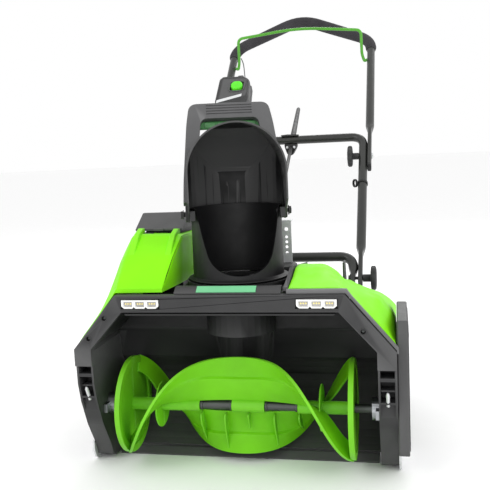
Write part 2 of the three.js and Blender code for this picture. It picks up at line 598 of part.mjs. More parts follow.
// Hood on the chute's upper corners: round in plan, arched on top, open below and in front.
function hoodVolume(r, top) {
  const plan = new THREE.Shape();
  plan.moveTo(r, -64);
  plan.lineTo(r, 0);
  plan.absarc(0, 0, r, 0, Math.PI, false);
  plan.lineTo(-r, -64);
  const arch = new THREE.Shape();
  arch.moveTo(-r, 450);
  arch.lineTo(-r, 541);
  arch.absarc(0, 541, r, Math.PI, 0, true);
  arch.lineTo(r, 450);
  const profile = new THREE.Shape();
  profile.moveTo(-66, top);
  profile.quadraticCurveTo(10, top - 2, 52, top - 42);
  profile.quadraticCurveTo(r, top - 82, r, top - 110);
  profile.lineTo(r, 463);
  profile.lineTo(-20, 453);
  profile.lineTo(-66, 492);
  return meet(prismZ(plan, 440, 640), prismY(arch, -80, 100), prismX(profile, -110, 110));
}
function deflectorHood() {
  const outer = hoodVolume(deflector.outerR, deflector.topZ);
  const inner = hoodVolume(deflector.outerR - deflector.wall, deflector.topZ - deflector.wall);
  const bosses = [-1, 1].map((side) => barX(...span(side, 87, 96), 0, chute.hingeZ, 11, 8));
  const boltHoles = barX(-120, 120, 0, chute.hingeZ, 4.4, 12);
  const mouth = [inner, inner.translate(0, -12, 0), inner.translate(0, 0, -12)];
  return cut(join(outer, ...bosses), ...mouth, boltHoles);
}
// Carrying frame behind the hood: two tapered legs and a grooved cross bar.
function deflectorFrame() {
  const end = ([x, y, z], [a, b]) =>
    [V(x - a, y - b, z), V(x + a, y - b, z), V(x + a, y + b, z), V(x - a, y + b, z)];
  const legs = [-1, 1].map((side) =>
    loft([end([side * 93.5, 20, 486], [5, 9]), end([side * 68, 94, 652], [11, 13])]));
  const crossBar = prismX([[80, 642], [108, 646], [113, 666], [109, 673], [92, 671], [84, 664]], -79, 79, 3);
  const grooves = [88, 93, 98, 103].map((y) => box(-44, 44, y, y + 2.2, 669.4 + (y - 88) * 0.12, 690));
  return cut(join(crossBar, ...legs), hoodVolume(deflector.outerR + GAP, deflector.topZ + GAP), ...grooves);
}
add('deflector_hood', deflectorHood(), glossBlack, chuteGroup);
add('deflector_frame', deflectorFrame(), midGrey, chuteGroup);
const triggerShape = [[84, 622], [84, 634], [103, 637], [103, 625]];
add('deflector_trigger', prismX(triggerShape, -58, 58, 1.5), lime, chuteGroup);
for (const [name, side] of [['left', -1], ['right', 1]]) {
  add(`hinge_bolt_${name}`, join(
    barX(...span(side, 74, 97), 0, chute.hingeZ, 3.8, 12),
    barX(...span(side, 96.5, 101), 0, chute.hingeZ, 8, 6),
  ), blackPlastic, chuteGroup);
}

// ---------------------------------------------------------------- chute crank
const ballAt = V(pinionAt.x, pinionAt.y, pinion.ballZ);
const crankLine = crank.top.clone().sub(ballAt);
const crankLength = crankLine.length();
const onCrank = (distance) => ballAt.clone().addScaledVector(crankLine, distance / crankLength);
const crankBar = (from, to, r, rTo = r) => bar(onCrank(from), onCrank(to), r, rTo, 12);
// Distance along the crank where it passes a given Y.
const crankAtY = (y) => ((y - ballAt.y) * crankLength) / crankLine.y;
const ball = (r) => new THREE.SphereGeometry(r, 14, 9).rotateX(0.5 * Math.PI).translate(...ballAt.toArray());

function chutePinion() {
  const phase = pinion.angle + Math.PI + Math.PI / gear.pinionTeeth;
  const wheelBody = prismZ(gearShape(gear.pinionTeeth, phase), gear.z0, gear.z1)
    .translate(pinionAt.x, pinionAt.y, 0);
  const stem = barZ(pinionAt.x, pinionAt.y, gear.z0 + 1, pinion.ballZ - 9, 4.8, 14);
  const cup = barZ(pinionAt.x, pinionAt.y, pinion.ballZ - 13, pinion.ballZ - 2.6, 12, 20);
  return cut(join(wheelBody, stem, cup), ball(crank.ballR + 0.7));
}
add('chute_pinion', chutePinion(), steel);
add('crank_rod', join(
  ball(crank.ballR),
  crankBar(0, crankLength - 8, crank.rodR),
  crankBar(20, 64, 7),
), steel);
add('crank_sleeve', cut(
  join(
    crankBar(crank.sleeveStart, crank.sleeveStart + 42, 9, crank.sleeveR),
    crankBar(crank.sleeveStart + 41, crankLength - 4, crank.sleeveR),
    crankBar(crankLength - 4, crankLength, crank.sleeveR, crank.sleeveR - 2.5),
  ),
  crankBar(crank.sleeveStart - 5, crankLength - 7, crank.rodR + 0.3),
), greyPlastic);
// Zinc plate with a folded top that steadies the crank beside the chute.
function crankPlate() {
  const y = pinionAt.y + 24;
  const z0 = 350 + GAP;
  const top = 436;
  const plate = join(box(33, 80, y, y + 3, z0, top), box(33, 80, y, y + 26, top - 3, top));
  const along = crankAtY(y);
  const holes = [[418, 4], [402, 3], [392, 3], [382, 3], [370, 3]];
  const slots = holes.map(([z, r]) => bar(V(70, y - 1, z), V(70, y + 4, z), r, r, 12));
  return cut(plate, crankBar(along - 8, along + 14, 8.6), ...slots);
}
add('crank_plate', crankPlate(), zinc);

// ---------------------------------------------------------------- handle
const handleNormal = onHandle(0, 0, 1).sub(onHandle(0, 0));
// Points along straight runs joined by rounded corners.
function rounded(corners, radii, steps) {
  const points = [corners[0]];
  for (let i = 1; i + 1 < corners.length; i += 1) {
    const toward = (other) => corners[i].clone()
      .addScaledVector(other.clone().sub(corners[i]).normalize(), radii[i - 1]);
    const bend = new THREE.QuadraticBezierCurve3(toward(corners[i - 1]), corners[i], toward(corners[i + 1]));
    points.push(...bend.getPoints(steps));
  }
  return [...points, corners[corners.length - 1]];
}
// Round tube through points that all lie in one plane.
function tube(points, normal, r, sides) {
  return loft(points.map((point, i) => {
    const before = points[Math.max(0, i - 1)];
    const after = points[Math.min(points.length - 1, i + 1)];
    const across = after.clone().sub(before).normalize().cross(normal);
    return Array.from({ length: sides }, (_, j) => {
      const turn = (j / sides) * 2 * Math.PI;
      return point.clone()
        .addScaledVector(normal, r * Math.cos(turn))
        .addScaledVector(across, r * Math.sin(turn));
    });
  }));
}
const arch = (x, startL, crossL, bend) => rounded(
  [onHandle(-x, startL), onHandle(-x, crossL), onHandle(x, crossL), onHandle(x, startL)], [bend, bend], 6);
const handleTube = (points) => tube(points, handleNormal, handle.tubeR, 14);
const flatLegs = (x, l0, l1) => [-1, 1].map((side) =>
  handleBox(...span(side, x - handle.flat / 2, x + handle.flat / 2), l0, l1, -14, 14));
const boltHole = (length) => barX(-260, 260, onHandle(0, length).y, onHandle(0, length).z, 4.4, 12);

add('lower_frame', cut(
  join(handleTube(arch(lower.x, 20, lower.crossL, 38)), ...flatLegs(lower.x, lower.footL, 42)),
  boltHole(0),
), tubePaint);
add('mid_handle', cut(
  join(handleTube(arch(mid.x, mid.roundL, mid.crossL, 38)), ...flatLegs(mid.x, mid.footL, mid.roundL + 10)),
  boltHole(0), boltHole(mid.pivotL),
), tubePaint);

// Rounds on one axis across the handle, each given as near end, far end, radius and sides.
function acrossHandle(side, length, extents) {
  const { y, z } = onHandle(0, length);
  return extents.map(([near, far, r, sides]) => barX(...span(side, near, far), y, z, r, sides));
}
// The lower knobs turn with their own bolt and nut. The fold knobs turn on a bolt that stays put.
const lowerKnob = [[226, 240, 27, 18], [208, 227, 9, 12], [178, 209, 3.9, 10], [174, 179, 8, 6]];
const foldKnob = [[160, 176, 27, 18], [175, 190.4, 9, 12]];
const foldBolt = [[168, 226, 3.9, 10], [225, 229, 8, 6]];
const foldBoltRoom = [[167, 191, 3.9 + GAP, 10]];
for (const [name, side] of [['left', -1], ['right', 1]]) {
  const onPivot = (extents) => acrossHandle(side, mid.pivotL, extents);
  add(`lower_knob_${name}`, join(...acrossHandle(side, 0, lowerKnob)), blackPlastic);
  add(`fold_knob_${name}`, cut(join(...onPivot(foldKnob)), ...onPivot(foldBoltRoom)), blackPlastic);
  add(`fold_bolt_${name}`, join(...onPivot(foldBolt)), zinc);
}
// Bracket under the mid handle's cross tube that carries the crank rod.
function rodBracket() {
  const shape = [[-28, 24], [-28, 17], [-22, -2], [-13, -38], [-5, -44], [3, -38], [14, -2], [16, 17],
    [16, 24], [11, 24], [11, 19], [-23, 19], [-23, 24]];
  const cross = onHandle(0, mid.crossL);
  const body = prismY(shape, -14, 14).translate(0, cross.y, cross.z);
  const tubeRoom = barX(-60, 60, cross.y, cross.z, handle.tubeR + GAP, 20);
  const along = crankAtY(cross.y);
  const bolts = [-15, 6].map((x) =>
    bar(V(x, cross.y - 20, cross.z - 34), V(x, cross.y + 20, cross.z - 34), 2, 2, 8));
  return cut(body, tubeRoom, crankBar(along - 40, along + 40, crank.rodR + 0.7), ...bolts);
}
add('rod_bracket', rodBracket(), blackPlastic);
// Ring clip on the right leg with an inward eye for the cable.
function cableClip() {
  const [low, high] = [334, 342];
  const reach = (l0, l1, r) => bar(onHandle(mid.x, l0), onHandle(mid.x, l1), r, r, 18);
  const eye = handleBox(mid.x - 30, mid.x - 12, low, high, -10, 10);
  const eyeRoom = handleBox(mid.x - 27, mid.x - 17, low - 5, high + 5, -7, 7);
  return cut(join(reach(low, high, 14), eye), eyeRoom, reach(low - 5, high + 5, handle.tubeR + GAP));
}
add('cable_clip', cableClip(), blackPlastic);

// Upper handle: legs bolted outside the mid handle, arched grip on top.
const gripPath = (startL) => rounded(
  [onHandle(-upper.x, startL), onHandle(-upper.x, upper.cornerL), onHandle(upper.apexX, upper.apexL),
    onHandle(upper.x, upper.cornerL), onHandle(upper.x, startL)],
  [46, 66, 46], 6);
const plugs = [-1, 1].map((side) =>
  handleBox(...span(side, upper.x - 5.5, upper.x + 7), upper.footL - 7, upper.footL + 1, -13, 13));
add('upper_handle', cut(
  join(handleTube(gripPath(upper.roundL)), ...flatLegs(upper.x, upper.footL, upper.roundL + 10), ...plugs),
  boltHole(mid.pivotL),
), tubePaint);
add('foam_grip', cut(
  tube(gripPath(upper.gripL), handleNormal, upper.gripR, 12),
  tube(gripPath(upper.gripL - 2), handleNormal, handle.tubeR + 0.6, 14),
), foam);

// Switch box clamped round the left leg: base, cover with a raised stripe, and the start button.
const boxOutline = [[-243, 656], [-243, 766], [-233, 776], [-160, 776], [-146, 764], [-141, 672],
  [-150, 642], [-236, 642]];
function boxHalf(n0, n1, ...rooms) {
  const legRoom = bar(V(-upper.x, 600, 0), V(-upper.x, 820, 0), handle.tubeR + GAP, handle.tubeR + GAP, 20);
  return cut(prismZ(boxOutline, n0, n1, 2), legRoom, ...rooms);
}
const ontoHandle = (body) => toGeometry(body).rotateX(handle.pitch).translate(0, handle.y, handle.z);
const button = { x0: -198, x1: -168, l0: 704, l1: 741 };
add('switch_base', ontoHandle(boxHalf(-24, -0.2, box(-200, -152, 654, 764, -20, 5))), blackPlastic);
const buttonRoom = box(button.x0 - 0.6, button.x1 + 0.6, button.l0 - 0.6, button.l1 + 0.6, 10, 50);
const stripe = box(-236, -152, 652, 661, 30, 33.4);
add('switch_cover', ontoHandle(join(boxHalf(0.2, 32, box(-200, -152, 654, 764, -5, 24), buttonRoom), stripe)),
  greyPlastic);
add('start_button', handleBox(button.x0, button.x1, button.l0, button.l1, 20, 38), bailGreen);

// Bail: green wire pivoted inboard of the grip's legs.
function bail() {
  const { x, pivotL, r, rise, peak } = bailDims;
  const foot = onHandle(0, pivotL);
  const lean = V(0, -0.1, 1).normalize();
  const at = (across, up) => V(across, foot.y, foot.z).addScaledVector(lean, up);
  const path = rounded([at(-x, 0), at(-x + 10, rise), at(0, rise + 1.5 * peak), at(x - 10, rise), at(x, 0)],
    [16, 70, 16], 6);
  const pins = [-1, 1].map((side) =>
    barX(...span(side, x - 5, upper.x - handle.tubeR - GAP), foot.y, foot.z, 6, 12));
  return join(tube(path, V(0, 1, 0.1).normalize(), r, 10), ...pins);
}
add('bail', bail(), bailGreen);
const cableEnd = onHandle(-188, bailDims.pivotL, 0).add(V(0, -4, 30));
const cablePath = new THREE.CatmullRomCurve3([
  onHandle(-164, 776.6, 10), onHandle(-168, 792, 12), cableEnd.clone().add(V(6, 4, -20)), cableEnd]);
add('bail_cable', sweep(cablePath, circle(1.6, 8), 8), midGrey);

export default machine;
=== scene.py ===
"""Looks of a single-stage cordless snow thrower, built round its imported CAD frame."""
import json
import math

import bmesh
import bpy
from mathutils import Matrix, Vector


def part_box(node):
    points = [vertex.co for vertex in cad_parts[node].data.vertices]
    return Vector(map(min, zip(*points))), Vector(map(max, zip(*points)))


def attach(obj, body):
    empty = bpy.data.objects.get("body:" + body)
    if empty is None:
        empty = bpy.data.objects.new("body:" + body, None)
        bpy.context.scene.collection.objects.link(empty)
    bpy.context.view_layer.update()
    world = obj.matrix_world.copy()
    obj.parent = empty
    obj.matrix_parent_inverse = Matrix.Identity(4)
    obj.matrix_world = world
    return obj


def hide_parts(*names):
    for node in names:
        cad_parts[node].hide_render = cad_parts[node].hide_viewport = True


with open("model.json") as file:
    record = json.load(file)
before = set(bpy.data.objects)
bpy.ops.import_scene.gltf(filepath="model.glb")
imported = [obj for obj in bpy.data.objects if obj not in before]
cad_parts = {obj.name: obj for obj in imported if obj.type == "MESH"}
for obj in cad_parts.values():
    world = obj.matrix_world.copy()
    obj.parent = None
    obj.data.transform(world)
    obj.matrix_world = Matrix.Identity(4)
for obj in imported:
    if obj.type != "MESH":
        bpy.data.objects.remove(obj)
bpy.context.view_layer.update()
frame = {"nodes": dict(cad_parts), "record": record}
nodes = frame["nodes"]
MM = 0.001
X, Y, Z = Vector((1, 0, 0)), Vector((0, 1, 0)), Vector((0, 0, 1))
SIDES = ((-1, "left"), (1, "right"))

# ------------ driving dimensions, millimetres
HANDLE_FOOT = Vector((0, 409, 270.75))  # lower knob's axis, where the handle's plane starts
HANDLE_PITCH = 0.735
TUBE_R = 11.8
LOWER = {"x": 185, "foot": -150, "round": 32, "cross": 66.7, "bend": 38}
MID = {"x": 202, "foot": -14, "round": 96, "cross": 499.5, "bend": 38}
UPPER = {"x": 219, "foot": 374, "round": 544, "corner": 956.5, "apex": 1105.7, "apex_x": -14}
FOLD_L = 421
CLIP_L = 314
GRIP_L = 906
BAIL = {"x": 208, "hook": 199, "arm": 192, "pivot": 857, "r": 4.4, "rise": 90, "peak": 13}
FLAT = (14, 5.5)  # half sizes of the handle legs' flattened ends
CHUTE_YAW = math.radians(16)
HINGE_Z = 466
HOOD_R = 89  # the deflector's outside, its top and its wall
HOOD_TOP = 630
HOOD_WALL = 3
AUGER = Vector((0, -40, 112))
AUGER_R = 92
AUGER_END = 208
AXLE_R = 7.9
SLEEVE_R = 11.6
BLADE_GAP = 0.5  # half the gap between the two paddles
WHEEL = Vector((198, 300, 90))  # middle of a wheel's inner face
WHEEL_W = 40
BEZEL_Y = -116.6
LAMP_X = 155
DRIVE_X = 303.6  # outer face of the drive cover
POCKET_X = 269  # middle of the skid pockets in the bezel
CRANK_BALL = Vector((44.109, 120.533, 393))
CRANK_TOP = Vector((-35, 1236, 719))


# ------------ camera, light and floor
def link(obj):
    bpy.context.scene.collection.objects.link(obj)


def add_camera():
    """Camera at the photograph's angle: where it stands, its turn, tilt and roll."""
    yaw, pitch, roll = math.radians(11.74), math.radians(6.92), math.radians(-2.56)
    forward = Vector((-math.sin(yaw) * math.cos(pitch), math.cos(yaw) * math.cos(pitch), -math.sin(pitch)))
    right = Vector((math.cos(yaw), math.sin(yaw), 0))
    up = right.cross(forward)
    turned_right = right * math.cos(roll) + up * math.sin(roll)
    turned_up = up * math.cos(roll) - right * math.sin(roll)
    camera = bpy.data.objects.new("camera", bpy.data.cameras.new("camera"))
    camera.data.lens = 54.58
    camera.data.sensor_width = 36
    camera.data.clip_start = 0.05
    axes = Matrix((turned_right, turned_up, -forward)).transposed().to_4x4()
    camera.matrix_world = Matrix.Translation(Vector((0.2907, -1.3336, 0.5705))) @ axes
    link(camera)
    bpy.context.scene.camera = camera


def add_light(name, place, target, size, power):
    lamp = bpy.data.objects.new(name, bpy.data.lights.new(name, "AREA"))
    lamp.data.shape = "RECTANGLE"
    lamp.data.size, lamp.data.size_y = size
    lamp.data.energy = power
    lamp.location = place
    lamp.rotation_euler = (Vector(target) - Vector(place)).to_track_quat("-Z", "Y").to_euler()
    link(lamp)


def add_studio():
    """White paper floor, an even white world and four soft lamps."""
    floor_mesh = bpy.data.meshes.new("floor")
    rim = [(60 * math.cos(a), 60 * math.sin(a), -0.0005) for a in (i * math.pi / 24 for i in range(48))]
    floor_mesh.from_pydata(rim, [], [tuple(range(48))])
    floor = bpy.data.objects.new("floor", floor_mesh)
    link(floor)
    floor_mesh.materials.append(look("floor_paper"))
    world = bpy.data.worlds.new("studio")
    world.use_nodes = True
    sky = world.node_tree.nodes["Background"].inputs
    sky["Color"].default_value = (1, 1, 1, 1)
    sky["Strength"].default_value = 1
    bpy.context.scene.world = world
    middle = (0, 0.2, 0.4)
    add_light("key", (-1.9, -2.2, 2.6), middle, (1.8, 1.8), 26)
    add_light("fill", (2.6, -1.6, 1.8), middle, (1.6, 2.0), 28)
    add_light("front", (0.2, -3.0, 0.5), (0, 0, 0.15), (1.6, 0.8), 8)
    add_light("back", (0.4, 3.0, 2.4), middle, (2.0, 1.2), 30)
    bpy.context.scene.view_settings.view_transform = "Standard"


# ------------ materials
made_materials = {}


def plastic(name, colour, rough, grain, metallic=0.0, mottle=0.1, wear=0.25, coat=0.0, gloss=0.35):
    """Moulded or painted surface: faint mottling, a fine grain, uneven gloss and paler rubbed edges."""
    if name in made_materials:
        return made_materials[name]
    material = bpy.data.materials.new(name)
    material.use_nodes = True
    tree = material.node_tree

    def node(kind, values, links):
        made = tree.nodes.new("ShaderNode" + kind)
        for key, value in values.items():
            made.inputs[key].default_value = value
        for key, value in links.items():
            tree.links.new(value, made.inputs[key])
        return made

    def noise(scale, detail):
        return node("TexNoise", {"Scale": scale, "Detail": detail}, {"Vector": place}).outputs["Fac"]

    def remap(value, low, high, out_low, out_high):
        values = {"From Min": low, "From Max": high, "To Min": out_low, "To Max": out_high}
        return node("MapRange", values, {"Value": value}).outputs["Result"]

    def blend(factor, first, second):
        """Mix of a fixed or made colour with a fixed one."""
        mixer = tree.nodes.new("ShaderNodeMix")
        mixer.data_type = "RGBA"
        tree.links.new(factor, mixer.inputs["Factor"])
        low, high = [socket for socket in mixer.inputs if socket.type == "RGBA"]
        high.default_value = (*second, 1)
        if isinstance(first, tuple):
            low.default_value = (*first, 1)
        else:
            tree.links.new(first, low)
        return next(socket for socket in mixer.outputs if socket.type == "RGBA")

    shader = tree.nodes["Principled BSDF"]
    for key, value in (("Metallic", metallic), ("Coat Weight", coat), ("Specular IOR Level", gloss)):
        shader.inputs[key].default_value = value
    place = tree.nodes.new("ShaderNodeTexCoord").outputs["Object"]
    dark = tuple(c * (1 - mottle) for c in colour)
    light = tuple(min(1.0, c * (1 + mottle) + 0.004 * mottle) for c in colour)
    base = blend(remap(noise(14, 4), 0.3, 0.7, 0, 1), dark, light)
    rubbed = tuple(min(1.0, c + (1 - c) * 0.22) for c in colour)
    edge = tree.nodes.new("ShaderNodeNewGeometry").outputs["Pointiness"]
    tree.links.new(blend(remap(edge, 0.52, 0.62, 0, wear), base, rubbed), shader.inputs["Base Color"])
    sheen = remap(noise(45, 5), 0.25, 0.75, rough * 0.85, min(1, rough * 1.15))
    tree.links.new(sheen, shader.inputs["Roughness"])
    relief = {"Strength": grain[1], "Distance": MM}
    bump = node("Bump", relief, {"Height": noise(grain[0], 6)})
    tree.links.new(bump.outputs["Normal"], shader.inputs["Normal"])
    made_materials[name] = material
    return material


# Colour, roughness, grain (scale, strength), and what differs from plastic()'s defaults.
LOOKS = {
    "lime": ((0.23, 0.80, 0.004), 0.5, (700, 0.05), dict(mottle=0.05, gloss=0.16)),
    "auger_green": ((0.15, 0.52, 0.006), 0.42, (500, 0.06), dict(gloss=0.25)),
    "bail_green": ((0.075, 0.33, 0.022), 0.34, (900, 0.04), dict(gloss=0.4)),
    "grey_plastic": ((0.034, 0.034, 0.035), 0.52, (1300, 0.22), dict(gloss=0.3)),
    "black_plastic": ((0.009, 0.009, 0.0095), 0.5, (1300, 0.2), dict(gloss=0.26)),
    "gloss_black": ((0.005, 0.005, 0.0055), 0.5, (400, 0.02), dict(mottle=0.2, gloss=0.3)),
    "mid_grey": ((0.10, 0.10, 0.102), 0.5, (1300, 0.2), dict(gloss=0.35)),
    "foam": ((0.036, 0.034, 0.038), 0.92, (1600, 0.6), dict(mottle=0.25)),
    "tube_paint": ((0.022, 0.023, 0.021), 0.33, (1500, 0.08), dict(coat=0.2)),
    "zinc": ((0.66, 0.67, 0.68), 0.36, (260, 0.08), dict(metallic=0.5, mottle=0.16)),
    "steel": ((0.36, 0.37, 0.39), 0.32, (600, 0.08), dict(metallic=1.0, mottle=0.2)),
    "tyre": ((0.017, 0.017, 0.018), 0.78, (900, 0.35), dict(mottle=0.2)),
    "lamp": ((0.80, 0.80, 0.78), 0.2, (200, 0.02), dict(mottle=0.04, coat=0.4)),
    # darkened green: painted shade for the shadow on the squeeze bar inside the frame's hand hole
    "trigger_green_painted_shade": ((0.04, 0.2, 0.05), 0.45, (800, 0.06), dict(gloss=0.3)),
    "badge_green": ((0.12, 0.5, 0.22), 0.4, (500, 0.05), dict(gloss=0.3)),
    "lamp_cup": ((0.42, 0.41, 0.39), 0.3, (300, 0.05), dict(metallic=0.4, mottle=0.25)),
    "led": ((0.85, 0.72, 0.28), 0.2, (300, 0.02), dict(coat=0.5)),
    "button_green": ((0.10, 0.75, 0.012), 0.35, (800, 0.06), dict(coat=0.1)),
    "silver_stripe": ((0.7, 0.71, 0.72), 0.35, (400, 0.04), dict(metallic=0.2, mottle=0.05)),
    "dark_steel": ((0.075, 0.08, 0.078), 0.38, (600, 0.08), dict(metallic=0.7, mottle=0.2)),
    "rod_grey": ((0.06, 0.06, 0.058), 0.5, (900, 0.1), dict(metallic=0.3, gloss=0.3)),
    "floor_paper": ((0.96,) * 3, 0.9, (300, 0.02), dict(mottle=0.01, wear=0, gloss=0.1)),
    "knob_grey": ((0.03, 0.03, 0.031), 0.6, (1100, 0.2), dict(gloss=0.3)),
}


def look(slot):
    *basics, extra = LOOKS[slot]
    return plastic(slot, *basics, **extra)


# ------------ mesh helpers, all in millimetres
def mix(a, b, t):
    return a + (b - a) * t


def ease(t):
    t = max(0.0, min(1.0, t))
    return t * t * (3 - 2 * t)


def build(rings, closed=False, capped=True):
    """Vertices and faces through rings of equal length."""
    count = len(rings[0])
    verts = [Vector(p) for ring in rings for p in ring]
    faces = []
    for i in range(len(rings) if closed else len(rings) - 1):
        low, high = i * count, ((i + 1) % len(rings)) * count
        for j in range(count):
            k = (j + 1) % count
            faces.append((low + j, low + k, high + k, high + j))
    if capped and not closed:
        last = (len(rings) - 1) * count
        faces.append(tuple(reversed(range(count))))
        faces.append(tuple(range(last, last + count)))
    return verts, faces


def merged(*parts):
    verts, faces = [], []
    for part_verts, part_faces in parts:
        start = len(verts)
        verts += part_verts
        faces += [tuple(start + i for i in face) for face in part_faces]
    return verts, faces


def moved(part, matrix):
    return [matrix @ v for v in part[0]], part[1]


def shifted(part, offset):
    return moved(part, Matrix.Translation(Vector(offset)))


def raw_object(name, part):
    mesh = bpy.data.meshes.new(name)
    mesh.from_pydata([v * MM for v in part[0]], [], part[1])
    shape = bmesh.new()
    shape.from_mesh(mesh)
    bmesh.ops.remove_doubles(shape, verts=shape.verts, dist=1e-6)
    bmesh.ops.recalc_face_normals(shape, faces=shape.faces)
    shape.to_mesh(mesh)
    shape.free()
    obj = bpy.data.objects.new(name, mesh)
    link(obj)
    return obj


def refine(obj, bevel=0.0, smooth=35, segments=2, dissolve=False):
    """Optional planar clean-up and rounded edges, then smooth shading up to an angle."""
    if dissolve:
        clean = obj.modifiers.new("clean", "DECIMATE")
        clean.decimate_type = "DISSOLVE"
        clean.angle_limit = math.radians(1.5)
    if bevel:
        soften = obj.modifiers.new("soften", "BEVEL")
        soften.width = bevel * MM
        soften.segments = segments
        soften.limit_method = "ANGLE"
        soften.angle_limit = math.radians(32)
    obj.data.shade_smooth()
    obj.data.set_sharp_from_angle(angle=math.radians(smooth))
    if bevel:
        flatten = obj.modifiers.new("flatten", "WEIGHTED_NORMAL")
        flatten.keep_sharp = True
        flatten.weight = 80


def piece(name, part, body, slot, replaces=(), bevel=0.0, smooth=35, segments=2):
    """A finished piece from (vertices, faces) or from an object, riding on a CAD body."""
    obj = part if isinstance(part, bpy.types.Object) else raw_object(name, part)
    obj.name = name
    refine(obj, bevel, smooth, segments)
    obj.data.materials.clear()
    obj.data.materials.append(look(slot))
    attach(obj, body)
    if replaces:
        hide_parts(*replaces)
    return obj


def carve(first, *others, operation="DIFFERENCE"):
    """Boolean of solids given as (vertices, faces); returns an object with the result applied."""
    base = first if isinstance(first, bpy.types.Object) else raw_object("solid", first)
    for other in others:
        tool = raw_object("tool", other)
        step = base.modifiers.new("step", "BOOLEAN")
        step.operation = operation
        step.solver = "EXACT"
        step.object = tool
        result = bpy.data.meshes.new_from_object(base.evaluated_get(bpy.context.evaluated_depsgraph_get()))
        base.modifiers.clear()
        base.data = result
        bpy.data.objects.remove(tool)
    return base


def mesh_part(obj):
    """(vertices, faces) of an object in millimetres; the object is removed."""
    part = [v.co / MM for v in obj.data.vertices], [tuple(f.vertices) for f in obj.data.polygons]
    bpy.data.objects.remove(obj)
    return part


def merged_solid(first, second):
    return mesh_part(carve(first, second, operation="UNION"))


def bend(a, b, c, steps):
    """Points of a quadratic curve from a to c, pulled towards b."""
    return [a * (1 - t) ** 2 + b * 2 * t * (1 - t) + c * t * t for t in (k / steps for k in range(steps + 1))]


def quad(a, b, c, steps):
    """The same in a plane, as pairs and without the first point."""
    return [tuple(point) for point in bend(Vector(a), Vector(b), Vector(c), steps)[1:]]


def block(low, high):
    (x0, y0, z0), (x1, y1, z1) = low, high
    ring = [(x0, y0), (x1, y0), (x1, y1), (x0, y1)]
    return build([[(x, y, z) for x, y in ring] for z in (z0, z1)])


def prism(axis, outline, start, end):
    """Outline pushed along an axis; it is given in (Y, Z) for X, (X, Z) for Y and (X, Y) for Z."""
    place = {"X": lambda a, b, c: (c, a, b),
             "Y": lambda a, b, c: (a, c, b),
             "Z": lambda a, b, c: (a, b, c)}[axis]
    return build([[place(a, b, c) for a, b in outline] for c in (start, end)])


def fillet(outline, radius, steps=4, keep=()):
    """The outline with its corners rounded, except those whose index is in keep."""
    points = []
    count = len(outline)
    for i, (px, pz) in enumerate(outline):
        corner = Vector((px, pz))
        to_last = Vector(outline[i - 1]) - corner
        to_next = Vector(outline[(i + 1) % count]) - corner
        reach = min(radius, 0.45 * to_last.length, 0.45 * to_next.length)
        if i in keep or reach < 0.05:
            points += [tuple(corner)] * (steps + 1)
            continue
        start = corner + to_last.normalized() * reach
        end = corner + to_next.normalized() * reach
        points += [tuple(point) for point in bend(start, corner, end, steps)]
    return points


def frame_of(axis):
    axis = axis.normalized()
    side = axis.orthogonal().normalized()
    return axis, side, axis.cross(side)


def turned(origin, axis, profile, sides, lobes=0, depth=0.0):
    """Solid of revolution from [(distance along, radius), ...], with an optional lobed edge."""
    axis, side, up = frame_of(axis)
    rings = []
    for along, radius in profile:
        ring = []
        for j in range(sides):
            angle = j / sides * 2 * math.pi
            r = radius * (1 - depth * (0.5 + 0.5 * math.cos(lobes * angle)) ** 2) if lobes else radius
            ring.append(origin + axis * along + side * r * math.cos(angle) + up * r * math.sin(angle))
        rings.append(ring)
    return build(rings)


def looped(origin, axis, profile, sides):
    """Hollow solid of revolution, whose profile's last point joins its first."""
    verts, faces = turned(origin, axis, profile, sides)
    last = len(verts) - sides
    return verts, faces[:-2] + [(last + j, last + (j + 1) % sides, (j + 1) % sides, j) for j in range(sides)]


def hex_nut(origin, axis, length, radius):
    return turned(origin, axis, [(0, radius), (length, radius)], 6)


def on_handle(x, length, off=0.0):
    """Place at x across, a length up the handle's plane and a distance off it."""
    run, rise = math.cos(HANDLE_PITCH), math.sin(HANDLE_PITCH)
    return HANDLE_FOOT + Vector((x, length * run - off * rise, length * rise + off * run))


HANDLE_NORMAL = (on_handle(0, 0, 1) - on_handle(0, 0)).normalized()
HANDLE_ALONG = (on_handle(0, 1) - on_handle(0, 0)).normalized()


def rounded_path(corners, radii, steps=12, spacing=12.0):
    """Points along straight runs with rounded corners, never further apart than the spacing."""
    points = [corners[0]]
    for corner, before, after, radius in zip(corners[1:-1], corners, corners[2:], radii):
        start = corner + (before - corner).normalized() * radius
        end = corner + (after - corner).normalized() * radius
        points += bend(start, corner, end, steps)
    points.append(corners[-1])
    dense = [points[0]]
    for a, b in zip(points, points[1:]):
        count = max(1, math.ceil((b - a).length / spacing))
        dense += [a.lerp(b, k / count) for k in range(1, count + 1)]
    return dense


def swept(points, normal, section, sides=28):
    """Tube through points of a plane. section(point) gives its half sizes, off the plane and in it, and how
    square it is."""
    rings = []
    for i, point in enumerate(points):
        tangent = (points[min(i + 1, len(points) - 1)] - points[max(i - 1, 0)]).normalized()
        across = tangent.cross(normal).normalized()
        off_half, in_half, square = section(point)
        ring = []
        for j in range(sides):
            angle = (j + 0.5) / sides * 2 * math.pi
            c, s = math.cos(angle), math.sin(angle)
            power = 2 / square
            ring.append(point + normal * off_half * math.copysign(abs(c) ** power, c)
                        + across * in_half * math.copysign(abs(s) ** power, s))
        rings.append(ring)
    return build(rings)


# ------------ handle
def leg_section(round_length):
    """Flattened below the given length up the handle, round above it, with a smooth change."""
    def section(point):
        length = (point - HANDLE_FOOT).dot(HANDLE_ALONG)
        flat = ease((round_length - length) / 26)
        return mix(TUBE_R, FLAT[0], flat), mix(TUBE_R, FLAT[1], flat), mix(2, 4.5, flat)
    return section


